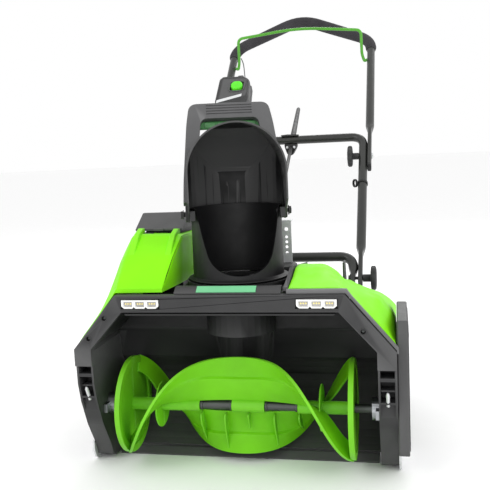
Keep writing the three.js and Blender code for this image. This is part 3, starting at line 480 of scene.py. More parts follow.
def add_handle():
    """Two arches of tube, the grip tube with its end plugs, and the foam sleeve."""
    def arch(d):
        corners = [on_handle(s * d["x"], length) for s, length in
                   ((-1, d["foot"]), (-1, d["cross"]), (1, d["cross"]), (1, d["foot"]))]
        path = rounded_path(corners, [d["bend"]] * 2, spacing=6)
        return swept(path, HANDLE_NORMAL, leg_section(d["round"]))

    piece("lower_frame_tube", arch(LOWER), "base", "tube_paint", ["lower_frame"], bevel=0.8)
    piece("mid_handle_tube", arch(MID), "base", "tube_paint", ["mid_handle"], bevel=0.8)

    def grip_path(start):
        x, corner = UPPER["x"], UPPER["corner"]
        corners = [on_handle(-x, start), on_handle(-x, corner), on_handle(UPPER["apex_x"], UPPER["apex"]),
                   on_handle(x, corner), on_handle(x, start)]
        return rounded_path(corners, [46, 66, 46], spacing=6)

    tube = swept(grip_path(UPPER["foot"] + 6.6), HANDLE_NORMAL, leg_section(UPPER["round"]))
    piece("upper_handle_tube", tube, "upper", "tube_paint", ["upper_handle"], bevel=0.8)
    for side, name in SIDES:
        plug_path = [on_handle(side * UPPER["x"], UPPER["foot"] + d) for d in (-0.4, 0.6, 6, 6.5)]
        sizes = iter([(11.5, 3.6, 4), (13.4, 5.4, 4), (13.6, 5.6, 4), (13.6, 5.6, 4)])
        plug = swept(plug_path, HANDLE_NORMAL, lambda _: next(sizes))
        piece(f"end_plug_{name}", plug, "upper", "black_plastic")

    def foam_section(point):
        length = (point - HANDLE_FOOT).dot(HANDLE_ALONG)
        swell = ease((length - GRIP_L) / 10)
        thick = mix(14.2, mix(16.6, 18.2, ease((length - 960) / 110)), swell)
        wrinkle = 0.35 * math.sin(point.x * 0.43) * ease((length - 940) / 20)
        return thick + wrinkle, thick - wrinkle, 2

    foam = swept(grip_path(GRIP_L), HANDLE_NORMAL, foam_section, 32)
    grip = piece("foam_grip_sleeve", foam, "upper", "foam", ["foam_grip"], bevel=1.2)


def knob(side, length, tip, seat):
    """Lobed hand knob: tip of its grip and seat of its stem, measured across the handle."""
    start = on_handle(side * seat, length)
    outward = X * (1 if tip > seat else -1) * side
    reach = abs(tip - seat)
    stem = turned(start, outward, [(0, 8.4), (1, 9), (reach - 13, 9), (reach - 11, 11)], 32)
    profile = [(-14, 18), (-13, 26.5), (-10, 28.8), (-4, 28.8), (-1, 25.5), (0, 19), (-0.6, 9), (-2.6, 7),
               (-2.6, 0.5)]
    grip = turned(start, outward, [(reach + a, r) for a, r in profile], 96, lobes=7, depth=0.09)
    return merged(stem, grip)


def knob_bolt(side, length, face, seat, nut):
    """Bolt from the nut's outer end to the knob's seat, with a washer against the face."""
    start = on_handle(side * face, length)
    outward = X * (1 if seat > face else -1) * side
    shank = turned(start, outward, [(0, 3.9), (abs(seat - face) + 1, 3.9)], 20)
    washer = turned(start, -outward, [(-0.4, 9.6), (0.2, 9.9), (1.1, 9.9), (1.6, 9.4)], 32)
    head = hex_nut(start - outward * 1.4, -outward, abs(nut - face) - 1.4, 7.6)
    return merged(shank, washer, head)


def add_knobs():
    for side, name in SIDES:
        lower = merged(knob(side, 0, 240, 208), knob_bolt(side, 0, 179, 208, 174))
        piece(f"lower_hand_knob_{name}", lower, f"knob_l{name[0]}", "knob_grey", [f"lower_knob_{name}"],
              bevel=0.5)
        piece(f"fold_hand_knob_{name}", knob(side, FOLD_L, 160, 190.4), f"knob_f{name[0]}", "knob_grey",
              [f"fold_knob_{name}"], bevel=0.5)
        piece(f"fold_screw_{name}", knob_bolt(side, FOLD_L, 225, 190.4, 229), "base", "zinc",
              [f"fold_bolt_{name}"], bevel=0.3)


def add_bail():
    """Bent wire whose ends hook into the handle's legs."""
    foot = on_handle(0, BAIL["pivot"])
    lean = Vector((0, -0.1, 1)).normalized()
    half = [(BAIL["x"], 0), (BAIL["hook"], -4), (BAIL["arm"], 18), (BAIL["arm"] - 1, BAIL["rise"])]
    left = [(-a - (3 if up > 0 else 0), up) for a, up in half]
    path = left + [(0, BAIL["rise"] + 1.5 * BAIL["peak"])] + half[::-1]
    corners = [foot + X * x + lean * up for x, up in path]
    wire = swept(rounded_path(corners, [5, 9, 16, 70, 16, 9, 5], 14, 8), Vector((0, 1, 0.1)).normalized(),
                 lambda _: (BAIL["r"], BAIL["r"], 2), 24)
    piece("bail_wire", wire, "bail_body", "bail_green", ["bail"], bevel=0.3)


def add_crank():
    """Rod with a ball at its foot and two cross pins, and a tapered hand sleeve at its top."""
    line = CRANK_TOP - CRANK_BALL
    reach = line.length
    ball = [(-7.9, 1.2), (-7, 3.9), (-4.6, 6.5), (-1.5, 7.85), (1.5, 7.85), (4.4, 6.7), (6.6, 4.5)]
    collar = [(19.5, 4.5), (20.5, 6.8), (62, 6.8), (64, 4.5)]
    rod = turned(CRANK_BALL, line, ball + collar + [(reach - 8, 4.5)], 32)
    pins = [turned(CRANK_BALL + line.normalized() * d, frame_of(line)[1], [(-8.2, 1.6), (8.2, 1.6)], 16)
            for d in (28, 54)]
    piece("crank_bar", merged(rod, *pins), "crank_body", "rod_grey", ["crank_rod"], bevel=0.3)
    start = 714
    sleeve = [(start, 5), (start + 0.8, 8.8), (start + 6, 9.4), (start + 34, 9), (start + 60, 8.4),
              (reach - 26, 6.6), (reach - 10, 6.2), (reach - 3, 5.3), (reach - 0.3, 2.8), (reach, 0.6)]
    piece("crank_grip", turned(CRANK_BALL, line, sleeve, 32), "crank_body", "knob_grey", ["crank_sleeve"],
          bevel=0.4, smooth=50)


# ------------ auger
def blade_angle(x):
    """Upright in the middle, wound forward and down towards each end."""
    return math.radians(90) + math.radians(155) * (abs(x) / 206) ** 2


def on_blade(x, r, flip):
    """Place on the blade at x along the axle and r from it."""
    angle = blade_angle(x) + flip
    return AUGER + Vector((x, r * math.cos(angle), r * math.sin(angle)))


def blade_row(x, flip):
    """Section of the blade: a dished leaf with a flatter band along its outer edge."""
    reach = min(1.0, max(0.0, (abs(x) - 130) / 75))
    inner = mix(SLEEVE_R - 0.6, 60, ease(reach))
    band = mix(55, 80, ease(abs(x) / 190))
    radial = (on_blade(x, AUGER_R, flip) - on_blade(x, inner, flip)).normalized()
    along = (on_blade(x + 1, AUGER_R, flip) - on_blade(x - 1, AUGER_R, flip)).normalized()
    off = radial.cross(along).normalized()
    middle = 1 - ease((abs(x) - 60) / 80)
    front, back = [], []
    leaf = [(inner, 1.5), (mix(inner, band, 0.3), 5), (mix(inner, band, 0.62), 6.8), (band - 3.4, 5.6)]
    for r, dish in leaf + [(band, 0.6), (band + 4, 0), (AUGER_R - 4, 0), (AUGER_R, 0.3)]:
        centre = on_blade(x, r, flip) - off * dish * middle
        half = 2.6 if r > AUGER_R - 3 else 1.8
        front.append(centre + off * half)
        back.append(centre - off * half)
    return front + back[::-1]


def paddle(flip):
    """One blade with its half sleeves round the axle, its ribs, its half end rings and its fins."""
    stations = [-206 + 412 * i / 150 for i in range(151)]
    blade = build([blade_row(x, flip) for x in stations])
    facing = math.cos(flip)

    def half_ring(outer, inner, steps, start, end):
        turns = [math.pi / 2 + math.pi * a / steps for a in range(steps + 1)]
        arcs = [[(AUGER.y + facing * (r * math.cos(t) - BLADE_GAP), AUGER.z + facing * r * math.sin(t))
                 for t in turns] for r in (outer, inner)]
        return prism("X", arcs[0] + arcs[1][::-1], start, end)

    parts = [half_ring(SLEEVE_R, AXLE_R + 0.4, 24, start, end)
             for start, end in ((-AUGER_END, -76), (-15, 46), (107, AUGER_END))]
    root = SLEEVE_R + 0.8
    for x in (-74, -27, 16, 64, 108):
        lean = blade_angle(x) - math.pi / 2 + flip
        outline = [(-1.2, root), (18, root), (19, 30), (12, 56), (2.5, 84), (-1.2, 86)]
        if x == 16:
            outline = [(-1.2, root), (16, root), (13, 22), (3, 42), (-1.2, 44)]
        rib = prism("X", fillet(outline, 9, 4), x - 1.4, x + 1.4)
        parts.append(moved(rib, Matrix.Translation(AUGER) @ Matrix.Rotation(lean, 4, "X")))
    hub = SLEEVE_R - 0.6
    for side in (-1, 1):
        for outer, inner, x, half in ((89.5, 76.5, 207, 4.6), (80, hub, AUGER_END, 1.6), (42, hub, 150, 1.4)):
            parts.append(half_ring(outer, inner, 48, side * x - half, side * x + half))
    return merged(blade, *parts)


def add_auger():
    piece("auger_paddle_front", paddle(0), "auger", "auger_green", ["paddle_front"], bevel=0.7, smooth=42)
    piece("auger_paddle_rear", paddle(math.pi), "auger", "auger_green", ["paddle_rear"], bevel=0.7, smooth=42)
    shaft = turned(AUGER - 251 * X, X, [(0, AXLE_R - 1.6), (1.4, AXLE_R), (551, AXLE_R)], 40)
    clip = [(0, AXLE_R + 0.4), (0.5, AXLE_R + 1.6), (4, AXLE_R + 1.6), (4.5, AXLE_R + 0.4)]
    clips = [turned(AUGER + x * X, X, clip, 40) for x in (-75, 46.5, 102, -20)]
    piece("auger_axle", merged(shaft, *clips), "auger", "dark_steel", ["auger_shaft"], bevel=0.3)


# ------------ chute, hood and frame
def yawed(part):
    return moved(part, Matrix.Rotation(CHUTE_YAW, 4, "Z"))


def yaw_object(obj):
    obj.data.transform(Matrix.Rotation(CHUTE_YAW, 4, "Z"))
    return obj


def mirror_outline(half):
    """Closed outline from its right half, given from one point on the middle line to the other."""
    return half + [(-a, b) for a, b in half[::-1] if abs(a) > 1e-6]


def add_chute():
    """Round chute with a deep mouth, its flange and gear below, and the deflector's two hinge bolts."""
    base, top, radius = 347.5, 478, 84
    height = top - base
    profile = [(0, radius), (height - 2, radius - 1), (height, radius - 1.6), (height, 78.6), (4, 73.6),
               (4, 69), (0, 69)]
    wall = looped(Vector((0, 0, base)), Z, profile, 128)
    half = [(0, 359.5)] + quad((0, 359.5), (47, 360), (58, 396), 14)
    half += quad((58, 396), (70, 440), (77, 500), 10)
    mouth = prism("Y", mirror_outline(half), -130, 0)
    piece("chute_shell", yaw_object(carve(wall, mouth)), "chute_body", "gloss_black", ["chute"], bevel=1.1,
          smooth=40, segments=3)
    lip = [(0, 70), (0, 90.5), (1, 92.6), (2.4, 92.6), (3.4, 90), (4.2, 86), (5.4, 84.6), (5.8, 84.1),
           (5.8, 80), (2, 70)]
    flange = looped(Vector((0, 0, base)), Z, lip, 128)
    piece("chute_flange", flange, "chute_body", "black_plastic", bevel=0.3)
    ring_gear()
    for side, name in SIDES:
        start = Vector((side * 74, 0, HINGE_Z))
        bolt = merged(turned(start, X * side, [(0, 3.7), (23, 3.7)], 20),
                      turned(start + X * side * 22.5, X * side, [(0, 9), (0.9, 9.4), (1.4, 8.8)], 32),
                      hex_nut(start + X * side * 23.5, X * side, 4.2, 7.4))
        piece(f"hinge_screw_{name}", yawed(bolt), "chute_body", "black_plastic", [f"hinge_bolt_{name}"],
              bevel=0.4)


def gear_outline(teeth, pitch, phase):
    """Straight-flanked teeth with a little play, four points to each."""
    module, points = 2 * pitch / teeth, []
    half = (module * math.pi - 0.9) / 4
    for i in range(teeth):
        centre = phase + i / teeth * 2 * math.pi
        for radial, side in ((-1.1, -1), (0.7, -1), (0.7, 1), (-1.1, 1)):
            r = pitch + radial * module
            spread = half - radial * module * math.tan(math.radians(20)) * (1.12 if radial > 0 else 0.9)
            angle = centre + side * spread / r
            points.append((r * math.cos(angle), r * math.sin(angle)))
    return points


def ring_gear():
    phase = math.radians(69.9) - CHUTE_YAW
    outer = gear_outline(39, 87.75, phase)
    inner = [(68 * math.cos(math.atan2(b, a)), 68 * math.sin(math.atan2(b, a))) for a, b in outer]
    low, high = 338, 345
    rings = [[(a, b, z) for a, b in outline] for outline, z in
             ((outer, low), (outer, high), (inner, high), (inner, low))]
    piece("chute_ring_gear", yawed(build(rings, closed=True)), "chute_body", "black_plastic", bevel=0.2)


def hood_solid(radius, top):
    """Deflector's outside: round from above and from the front, and falling to the rear."""
    low = 440

    def arc(cx, cy, start, end, steps):
        return [(cx + radius * math.cos(a), cy + radius * math.sin(a))
                for a in (math.radians(mix(start, end, k / steps)) for k in range(steps + 1))]

    plan = [(radius, -64)] + arc(0, 0, 0, 180, 64) + [(-radius, -64)]
    front = [(radius, low)] + arc(0, 541, 0, 180, 64) + [(-radius, low)]
    side = [(-66, top)] + quad((-66, top), (10, top - 2), (52, top - 42), 20)
    side += quad((52, top - 42), (radius, top - 82), (radius, top - 110), 16)
    side += [(radius, 463), (-20, 453), (-66, 492)]
    return carve(prism("Z", plan, low, 640), prism("Y", front, -80, 100), prism("X", side, -110, 110),
                 operation="INTERSECT")


def add_hood():
    """Deflector shell, open in front and below, its hinge bosses and rivet, and the chute's blocks by them."""
    outer = hood_solid(HOOD_R, HOOD_TOP)
    inner = mesh_part(hood_solid(HOOD_R - HOOD_WALL, HOOD_TOP - HOOD_WALL))
    shell = carve(outer, inner, shifted(inner, (0, -12, 0)), shifted(inner, (0, 0, -12)))
    piece("deflector_shell", yaw_object(shell), "deflector", "gloss_black", ["deflector_hood"], bevel=1.0,
          smooth=40, segments=3)
    for side, name in SIDES:
        outline = fillet([(-15, 453), (13, 453), (16, 462), (14, 482), (-12, 484), (-17, 466)], 5)
        boss = prism("X", outline, *sorted((side * 87.5, side * 93)))
        piece(f"hinge_boss_{name}", yawed(boss), "deflector", "black_plastic", bevel=1.4)
        block_line = fillet([(-47, 457), (-36, 455), (-34, 474), (-44, 476)], 3, 4)
        stop = prism("X", block_line, *sorted((side * 76, side * 85.4)))
        piece(f"hinge_block_{name}", yawed(stop), "chute_body", "black_plastic", bevel=1.2)
    spot = Vector((-2, 84.5, 556))
    rivet = merged(turned(spot, -Y, [(0, 4.4), (1.2, 4.2), (2.2, 3), (2.6, 0.8)], 24),
                   turned(spot, -Y, [(-1, 7), (0.4, 7), (0.7, 6.2)], 32))
    piece("hood_rivet", yawed(rivet), "deflector", "zinc")


def add_deflector_frame():
    """Leaning frame behind the deflector with its hand hole, and the bar that is squeezed in that hole."""
    foot, head = Vector((0, 20, 484)), Vector((0, 98, 668))
    slope = (head - foot).normalized()
    outward = slope.cross(X)
    length = (head - foot).length
    half = [(96, 0), (94, 40), (83, length - 42), (76, length - 1), (0, length)]
    inside = [(88.6, 0), (85, 34), (60, length - 74), (55, length - 32), (0, length - 32)]
    outer = fillet(mirror_outline(half), 15, 6, keep=(0, 8))
    window = fillet(mirror_outline(inside), 13, 6, keep=(0, 8))
    place = Matrix.Translation(foot) @ Matrix((X, slope, outward)).transposed().to_4x4()
    plate = prism("Z", outer, -10, 10)
    hole = prism("Z", [(a, b - (6 if b < 1 else 0)) for a, b in window], -20, 20)
    grooves = [prism("Z", fillet([(-44, w), (44, w), (44, w + 2.6), (-44, w + 2.6)], 1.2, 3), -12, -8.2)
               for w in (length - 24, length - 18.4, length - 12.8, length - 7.2)]
    part = moved(mesh_part(carve(plate, hole, *grooves)), place)
    body = carve(part, mesh_part(hood_solid(HOOD_R + 0.5, HOOD_TOP + 0.5)))
    piece("deflector_carrier", yaw_object(body), "deflector", "mid_grey", ["deflector_frame"], bevel=1.8,
          segments=3, smooth=40)
    bar = fillet([(83.5, 621.5), (84, 635), (92, 638), (103.5, 637), (103.5, 625), (94, 621)], 4)
    pad = fillet([(82.6, 625), (82.6, 634), (84, 634), (84, 625)], 0.5, 2)
    trigger = merged(prism("X", bar, -57, 57), *(prism("X", pad, x, x + 20) for x in (-48, -22, 4, 30)))
    # the bar's green is darkened to paint the shade that falls on it in the hand hole
    piece("squeeze_bar", yawed(trigger), "trigger", "trigger_green_painted_shade", ["deflector_trigger"], bevel=0.8)


# ------------ wheels
TYRE = [(2, 62.6), (0.6, 70), (0, 78), (1.6, 84), (4.6, 87.4), (9, 88.9), (20, 89.2), (31, 88.9),
        (35.4, 87.4), (38.4, 84), (40, 78), (39.4, 70), (38, 62.6)]
RIM = [(2.4, 62.4), (2.4, 58), (4, 55), (12, 53), (28, 53), (36, 55), (37.6, 58), (37.6, 62.4)]
HUB = [(0.2, 9), (0.2, 20), (1.6, 22), (38.4, 22), (39.8, 20), (39.8, 9)]
LUG = [[(-9, -3.2, 87.6), (10, -3.2, 87.6), (10, 3.2, 87.6), (-9, 3.2, 87.6)],
       [(-8, -2.6, 89.9), (9, -2.6, 89.9), (9, 2.6, 89.9), (-8, 2.6, 89.9)]]


def add_wheels():
    """Two wheels: a tyre with staggered lugs, a rim with a hub and six waisted spokes, and an axle cap."""
    for side, name in SIDES:
        origin = Vector((side * WHEEL.x, WHEEL.y, WHEEL.z))
        axis = X * side

        def spun(part, along, angle):
            return moved(part, Matrix.Translation(origin + axis * along) @ Matrix.Rotation(angle, 4, "X"))

        treads = [spun(build(LUG), 11 if i % 2 else 28, i / 30 * 2 * math.pi) for i in range(30)]
        rides = f"wheel_{name}_body"
        tyre = merged(looped(origin, axis, TYRE, 120), *treads)
        piece(f"wheel_tyre_{name}", tyre, rides, "tyre", [f"wheel_{name}"], bevel=0.3)
        arm = build([[(-6 * w, -8.5 * w, r), (6 * w, -8.5 * w, r), (6 * w, 8.5 * w, r), (-6 * w, 8.5 * w, r)]
                     for r, w in ((20, 1), (34, 0.72), (54, 1.05))])
        spokes = [spun(arm, WHEEL_W / 2, i * math.pi / 3) for i in range(6)]
        rim = merged(looped(origin, axis, RIM, 96), looped(origin, axis, HUB, 64), *spokes)
        piece(f"wheel_rim_{name}", rim, rides, "grey_plastic", bevel=0.9)
        cap = turned(origin + axis * (WHEEL_W + 0.4), axis, [(0, 14), (2, 14.4), (5.4, 12.6), (6.4, 8)], 48)
        piece(f"wheel_cap_{name}", cap, "base", "zinc", bevel=0.3)


# ------------ green hoods
# Sections across the machine as (x, z), full and flush with the rim. Each station along the machine gives how
# full the section is there and how far its top has dropped.
HOOD_FOOT = (206, 336.8)
FOOT_FALL = 44
HOOD_LOW = 238  # the sections' outer lower edge, and the height over it that the drop is given for
HOOD_SPAN = 136
SHELL = 3
OPEN_BELOW = 60  # how far the inside runs on past the foot
RIGHT_HOOD = {
    "full": [(106, 336.8), (106, 368), (158, 368), (179, 355), (197, 333), (222, 320), (256, 307), (275, 280),
             (283, 250), (284, 238)],
    "rim": [(106, 336.8), (106, 343), (150, 343), (199, 343), (211, 332), (228, 312), (250, 288), (267, 268),
            (284, 247), (284, 238)],
    "stations": [(-103, 0, 0), (-60, 0.42, 0), (-15, 0.92, 0), (20, 1, 2), (90, 1, 26), (180, 0.9, 56),
                 (232, 0.5, 62)],
}
LEFT_HOOD = {
    "full": [(-284, 238), (-283, 248), (-276, 278), (-251, 312), (-241, 347), (-233, 374), (-218, 402),
             (-201, 431), (-104, 428), (-110, 341), (-110, 336.8)],
    "rim": [(-284, 238), (-284, 241), (-267, 263), (-250, 283), (-228, 308), (-211, 329), (-206, 338),
            (-203, 342.5), (-118, 342.5), (-118, 340), (-118, 336.8)],
    "stations": [(-103, 0, 0), (-50, 0.6, 0), (-2, 1, 0), (120, 1, 3), (222, 0.95, 14), (240, 0.7, 20)],
}


def at_station(hood, y):
    """Growth and drop of the hood's section at y, between its stations."""
    stations = hood["stations"]
    for (y0, g0, d0), (y1, g1, d1) in zip(stations, stations[1:]):
        if y <= y1:
            t = (y - y0) / (y1 - y0)
            return mix(g0, g1, t), mix(d0, d1, t)
    return stations[-1][1:]


def hood_outline(hood, y):
    """Section at y and its foot's height, softened over a short window so that each crease has a radius."""
    first, last = hood["stations"][0][0], hood["stations"][-1][0]
    near = [at_station(hood, max(first, min(last, y + d))) for d in (-5, 0, 5)]
    grow, drop = ((a + 2 * b + c) / 4 for a, b, c in zip(*near))
    line = []
    for (rx, rz), (fx, fz) in zip(hood["rim"], hood["full"]):
        height = mix(rz, fz, grow)
        line.append((mix(rx, fx, grow), height - drop * (height - HOOD_LOW) / HOOD_SPAN))
    return line, HOOD_FOOT[1] - FOOT_FALL * grow - drop


def hood_shell(hood, side):
    """Hood as a thin shell that is open below."""
    foot_x = side * HOOD_FOOT[0]
    marks = {s[0] for s in hood["stations"]}
    first, last = min(marks), max(marks)
    rows = sorted({y for m in marks for y in (m - 6, m - 3, m, m + 3, m + 6) if first <= y <= last}
                  | {first + 12 * k for k in range(int((last - first) / 12) + 1)})
    outer = []
    for y in rows:
        line, foot_z = hood_outline(hood, y)
        outline = fillet(line + [(foot_x, foot_z)], 9, 4, keep=(0, len(line) - 1, len(line)))
        outer.append([(x, y, z) for x, z in outline])
    inner = []
    for y in rows:
        if not first + 8 <= y <= last - 3:
            continue
        line, foot_z = hood_outline(hood, y)
        inset = []
        for i, (x, z) in enumerate(line):
            ax, az = line[max(0, i - 1)]
            bx, bz = line[min(len(line) - 1, i + 1)]
            length = math.hypot(bx - ax, bz - az)
            inset.append((x + SHELL * (bz - az) / length, z - SHELL * (bx - ax) / length))
        for end in (0, -1):
            inset[end] = (inset[end][0], inset[end][1] - 40)
        inner.append([(x, y, z) for x, z in inset + [(foot_x, foot_z - OPEN_BELOW)]])
    return carve(build(outer), build(inner))


def hood_height(hood, x, y):
    """Height of the hood's upper surface at a place."""
    line = hood_outline(hood, y)[0]
    return max(az + (bz - az) * (x - ax) / (bx - ax) for (ax, az), (bx, bz) in zip(line, line[1:])
               if min(ax, bx) <= x <= max(ax, bx) and abs(bx - ax) > 0.5)


def add_hoods():
    """Both green hoods, and on the left one the lid's two guide ribs and finger recess."""
    right = hood_shell(RIGHT_HOOD, 1)
    piece("green_hood_right", right, "base", "lime", ["right_cover"], bevel=0.6, smooth=28)
    opening = block((-200, 27, 380), (-117, 209, 480))
    left = carve(hood_shell(LEFT_HOOD, -1), opening)
    piece("green_hood_left", left, "base", "lime", ["left_cover"], bevel=0.6, smooth=28)
    for index, x in enumerate((-191, -121)):
        spine = []
        for y, proud in ((-48, 0.4), (-34, 4.5), (-12, 8), (12, 9.5), (20.5, 9)):
            foot = hood_height(LEFT_HOOD, x, y)
            section = ((-6.5, -3), (6.5, -3), (5, proud), (-5, proud))
            spine.append([(x + a, y, foot + b) for a, b in section])
        piece(f"lid_guide_{index}", build(spine), "base", "lime", bevel=1.2, smooth=40)
    recess = [[(x, y, hood_height(LEFT_HOOD, -176, y) + z) for x, z in
               ((-187, -2), (-165, -2), (-165, 0.8), (-187, 0.8))] for y in (4, 16)]
    piece("lid_finger_recess", build(recess), "base", "black_plastic", bevel=0.8)


# ------------ nodes kept from the frame
KEPT = {
    "front_bezel": 1.6, "side_plate_left": 1.2, "side_plate_right": 1.2, "auger_housing": 0.8,
    "scraper_bar": 1, "skid_left": 0.8, "skid_right": 0.8, "deck_panel": 0.7, "badge_plate": 0.3,
    "edge_trim": 0.8, "cheek_right": 1.2, "battery_tray": 0.8, "battery_pack": 1.5, "battery_lid": 1.6,
    "rear_base": 1.8, "drive_motor": 1.5, "motor_pulley": 0.3, "wheel_axle": 0.8, "drive_belt": 0.4,
    "drive_cover": 1.8, "auger_pulley": 0.3, "bearing_left": 0.6, "bearing_right": 0.6, "chute_pinion": 0.25,
    "crank_plate": 0.4, "switch_base": 1.6, "lamp_left": 0.5, "lamp_right": 0.5,
}


def add_kept_nodes():
    """Nodes used as packed, with a small bevel and their slot's look."""
    slots = {entry["node"]: entry["material_slot"] for entry in frame["record"]["subparts"]}
    for name, bevel in KEPT.items():
        refine(nodes[name], bevel, dissolve=True)
        nodes[name].data.materials.clear()
        nodes[name].data.materials.append(look(slots[name]))


# ------------ body details
def add_lamps():
    """Three reflector cups in each lamp, each with three light chips."""
    for side, name in SIDES:
        leds, cups = [], []
        for x in (side * LAMP_X + u for u in (-22, 0, 22)):
            for u in (-4.4, 0, 4.4):
                place = Vector((x + u, BEZEL_Y + 0.2, 319.2))
                leds.append(turned(place, -Y, [(0, 1.6), (0.6, 1.6), (1.0, 1)], 16))
            cup = ((-8.4, 322.8), (8.4, 322.8), (7, 315.2), (4, 313.6), (-4, 313.6), (-7, 315.2))
            outline = fillet([(x + a, z) for a, z in cup], 1.2, 3)
            cups.append(prism("Y", outline, BEZEL_Y, BEZEL_Y + 1))
        piece(f"lamp_leds_{name}", merged(*leds), "base", "led", bevel=0.1)
        piece(f"lamp_cups_{name}", merged(*cups), "base", "lamp_cup", bevel=0.2)


def add_bezel_details():
    """Sunk screws, the lip over the intake, and the webs and adjusters in the skid pockets."""
    screws, recesses = [], []
    cup = [(0, 6.2), (0.4, 6.4), (0.7, 6.2), (0.7, 4.5), (8, 4.5), (8, 4.2), (0.3, 4.2), (0, 4.6)]
    for x, z in ((-224, 293), (-256, 256), (231, 271)):
        screws.append(turned(Vector((x, -110.4, z)), -Y, [(0, 3.6), (1.6, 3.4), (2.4, 2.4), (1.7, 1)], 24))
        recesses.append(looped(Vector((x, BEZEL_Y - 2, z)), Y, cup, 40))
    piece("bezel_screws", merged(*screws), "base", "dark_steel", bevel=0.2)
    piece("bezel_screw_cups", merged(*recesses), "base", "gloss_black")
    webs = [block((x - half, y, low), (x + half, -78, high)) for x in (-POCKET_X, POCKET_X)
            for half, y, low, high in ((11, -104, 216.8, 219.2), (11.6, -102, 163.6, 166.4))]
    piece("side_pocket_webs", merged(*webs), "base", "grey_plastic", bevel=0.4)
    lip = [(-186, 301), (186, 301), (183, 298), (-183, 298)]
    piece("bezel_lip", prism("Y", lip, BEZEL_Y, -104), "base", "black_plastic", bevel=0.4)
    tips = [turned(Vector((x, -99, 138)), Vector((0, -0.5, 1)), [(0, 3.2), (26, 3.2), (30, 1.4)], 24)
            for x in (-POCKET_X, POCKET_X)]
    piece("skid_adjusters", merged(*tips), "base", "zinc", bevel=0.2)


def add_drive_cover_details():
    """Raised rim round the cover, its four screws and its slanted vents."""
    hull = [(-88, 66), (-88, 258), (-78, 272), (58, 276), (104, 262), (114, 238), (112, 174), (30, 54),
            (18, 48), (-78, 48)]
    centre = (14, 163)
    inner = [(mix(a, centre[0], 0.07), mix(b, centre[1], 0.07)) for a, b in hull]
    outer_line, inner_line = fillet(hull, 16, 6), fillet(inner, 14, 6)
    rings = [[(x, a, b) for a, b in line] for line, x in
             ((outer_line, DRIVE_X), (outer_line, DRIVE_X + 1.6), (inner_line, DRIVE_X + 1.6),
              (inner_line, DRIVE_X))]
    piece("drive_cover_rim", build(rings, closed=True), "base", "grey_plastic", bevel=0.5)
    screws = [turned(Vector((DRIVE_X, y, z)), X, [(0, 5), (1.6, 4.8), (2.2, 3.4), (1.2, 2.2)], 24)
              for y, z in ((-76, 256), (96, 250), (-72, 62), (10, 58))]
    piece("drive_cover_screws", merged(*screws), "base", "steel", bevel=0.2)
    vents = []
    for k in range(7):
        start, z = 40 + 2 * k, 190 + 9 * k
        foot = [(start, z), (84, z), (84, z + 4), (start, z + 4)]
        face = [(start + 1, z + 0.8), (83, z + 0.8), (83, z + 3.2), (start + 1, z + 3.2)]
        rings = ((foot, DRIVE_X - 0.4), (face, DRIVE_X + 1))
        vents.append(build([[(x, a, b) for a, b in line] for line, x in rings]))
    piece("drive_cover_vents", merged(*vents), "base", "black_plastic", bevel=0.3)


def add_rear_details():
    """Ribs on the rear panel, and cooling fins round the motor inside."""
    ribs = [block((x - 2, 339.4, 96), (x + 2, 343, 236)) for x in (-150, -90, -30, 30, 90, 150)]
    ribs.append(block((-160, 339.4, 160), (160, 342, 164)))
    piece("rear_panel_ribs", merged(*ribs), "base", "black_plastic", bevel=0.9)
    low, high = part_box("drive_motor")
    centre = (low + high) / 2 / MM
    fin = block((low.x / MM + 14, -1.1, 41), (high.x / MM - 8, 1.1, 45.5))
    middle = Matrix.Translation(Vector((0, centre.y, centre.z)))
    fins = [moved(fin, middle @ Matrix.Rotation(k / 28 * 2 * math.pi, 4, "X")) for k in range(28)]
    piece("motor_fins", merged(*fins), "base", "steel", bevel=0.3)


def add_switch_box():
    """Cover with rounded shoulders, a plain slanted stripe, and a raised seat for the button."""
    outline = fillet([(-243, 656), (-243, 766), (-233, 776), (-166, 776), (-146, 758), (-141, 672),
                      (-150, 642), (-236, 642)], 14, 6)
    centre = Vector((-192, 709))
    rows = []
    for n, inset in ((0.3, 0), (22, 0), (26, 0.6), (29.4, 2.4), (31.4, 5.4), (32, 9)):
        ring = []
        for a, b in outline:
            offset = Vector((a, b)) - centre
            scaled = centre + offset * (1 - inset / offset.length)
            ring.append(on_handle(scaled.x, scaled.y, n))
        rows.append(ring)

    def slab(points, radius, low, high):
        return build([[on_handle(a, b, n) for a, b in fillet(points, radius, 5)] for n in (low, high)])

    seat = slab([(-206, 702), (-198, 695), (-166, 695), (-157, 704), (-155, 721), (-157, 738), (-166, 746),
                 (-198, 746), (-206, 738), (-208, 721)], 6, 31, 34)
    hump = slab([(-187, 770), (-168, 770), (-168, 783), (-187, 783)], 7, 4, 26)
    room = slab([(-202, 700), (-161, 700), (-161, 742), (-202, 742)], 7, 12, 50)
    cover = carve(merged_solid(merged_solid(build(rows), seat), hump), room, leg_bar())
    piece("switch_cover_shell", cover, "upper", "grey_plastic", ["switch_cover"], bevel=0.7, segments=3)
    collar = slab([(-240, 770), (-198, 770), (-200, 786), (-238, 786)], 8, -16, 22)
    piece("switch_collar", carve(collar, leg_bar()), "upper", "grey_plastic", bevel=2.4, segments=3)
    key = [(-200, 716), (-192, 702), (-172, 702), (-163, 712), (-163, 728), (-172, 740), (-192, 740),
           (-200, 730)]
    button = []
    for n, i in ((21, 0.6), (35, 0.6), (38, 1.4), (39.6, 3.2), (40, 6)):
        points = [(mix(a, -181.5, i / 18), mix(b, 721, i / 18)) for a, b in key]
        button.append([on_handle(a, b, n) for a, b in fillet(points, 3.5, 4)])
    piece("start_key", build(button), "button", "button_green", ["start_button"], bevel=0.3)
    stripe = slab([(-236, 646), (-162, 672), (-162, 684), (-236, 659)], 1.5, 31.4, 32.8)
    piece("cover_stripe", stripe, "upper", "silver_stripe", bevel=0.3)


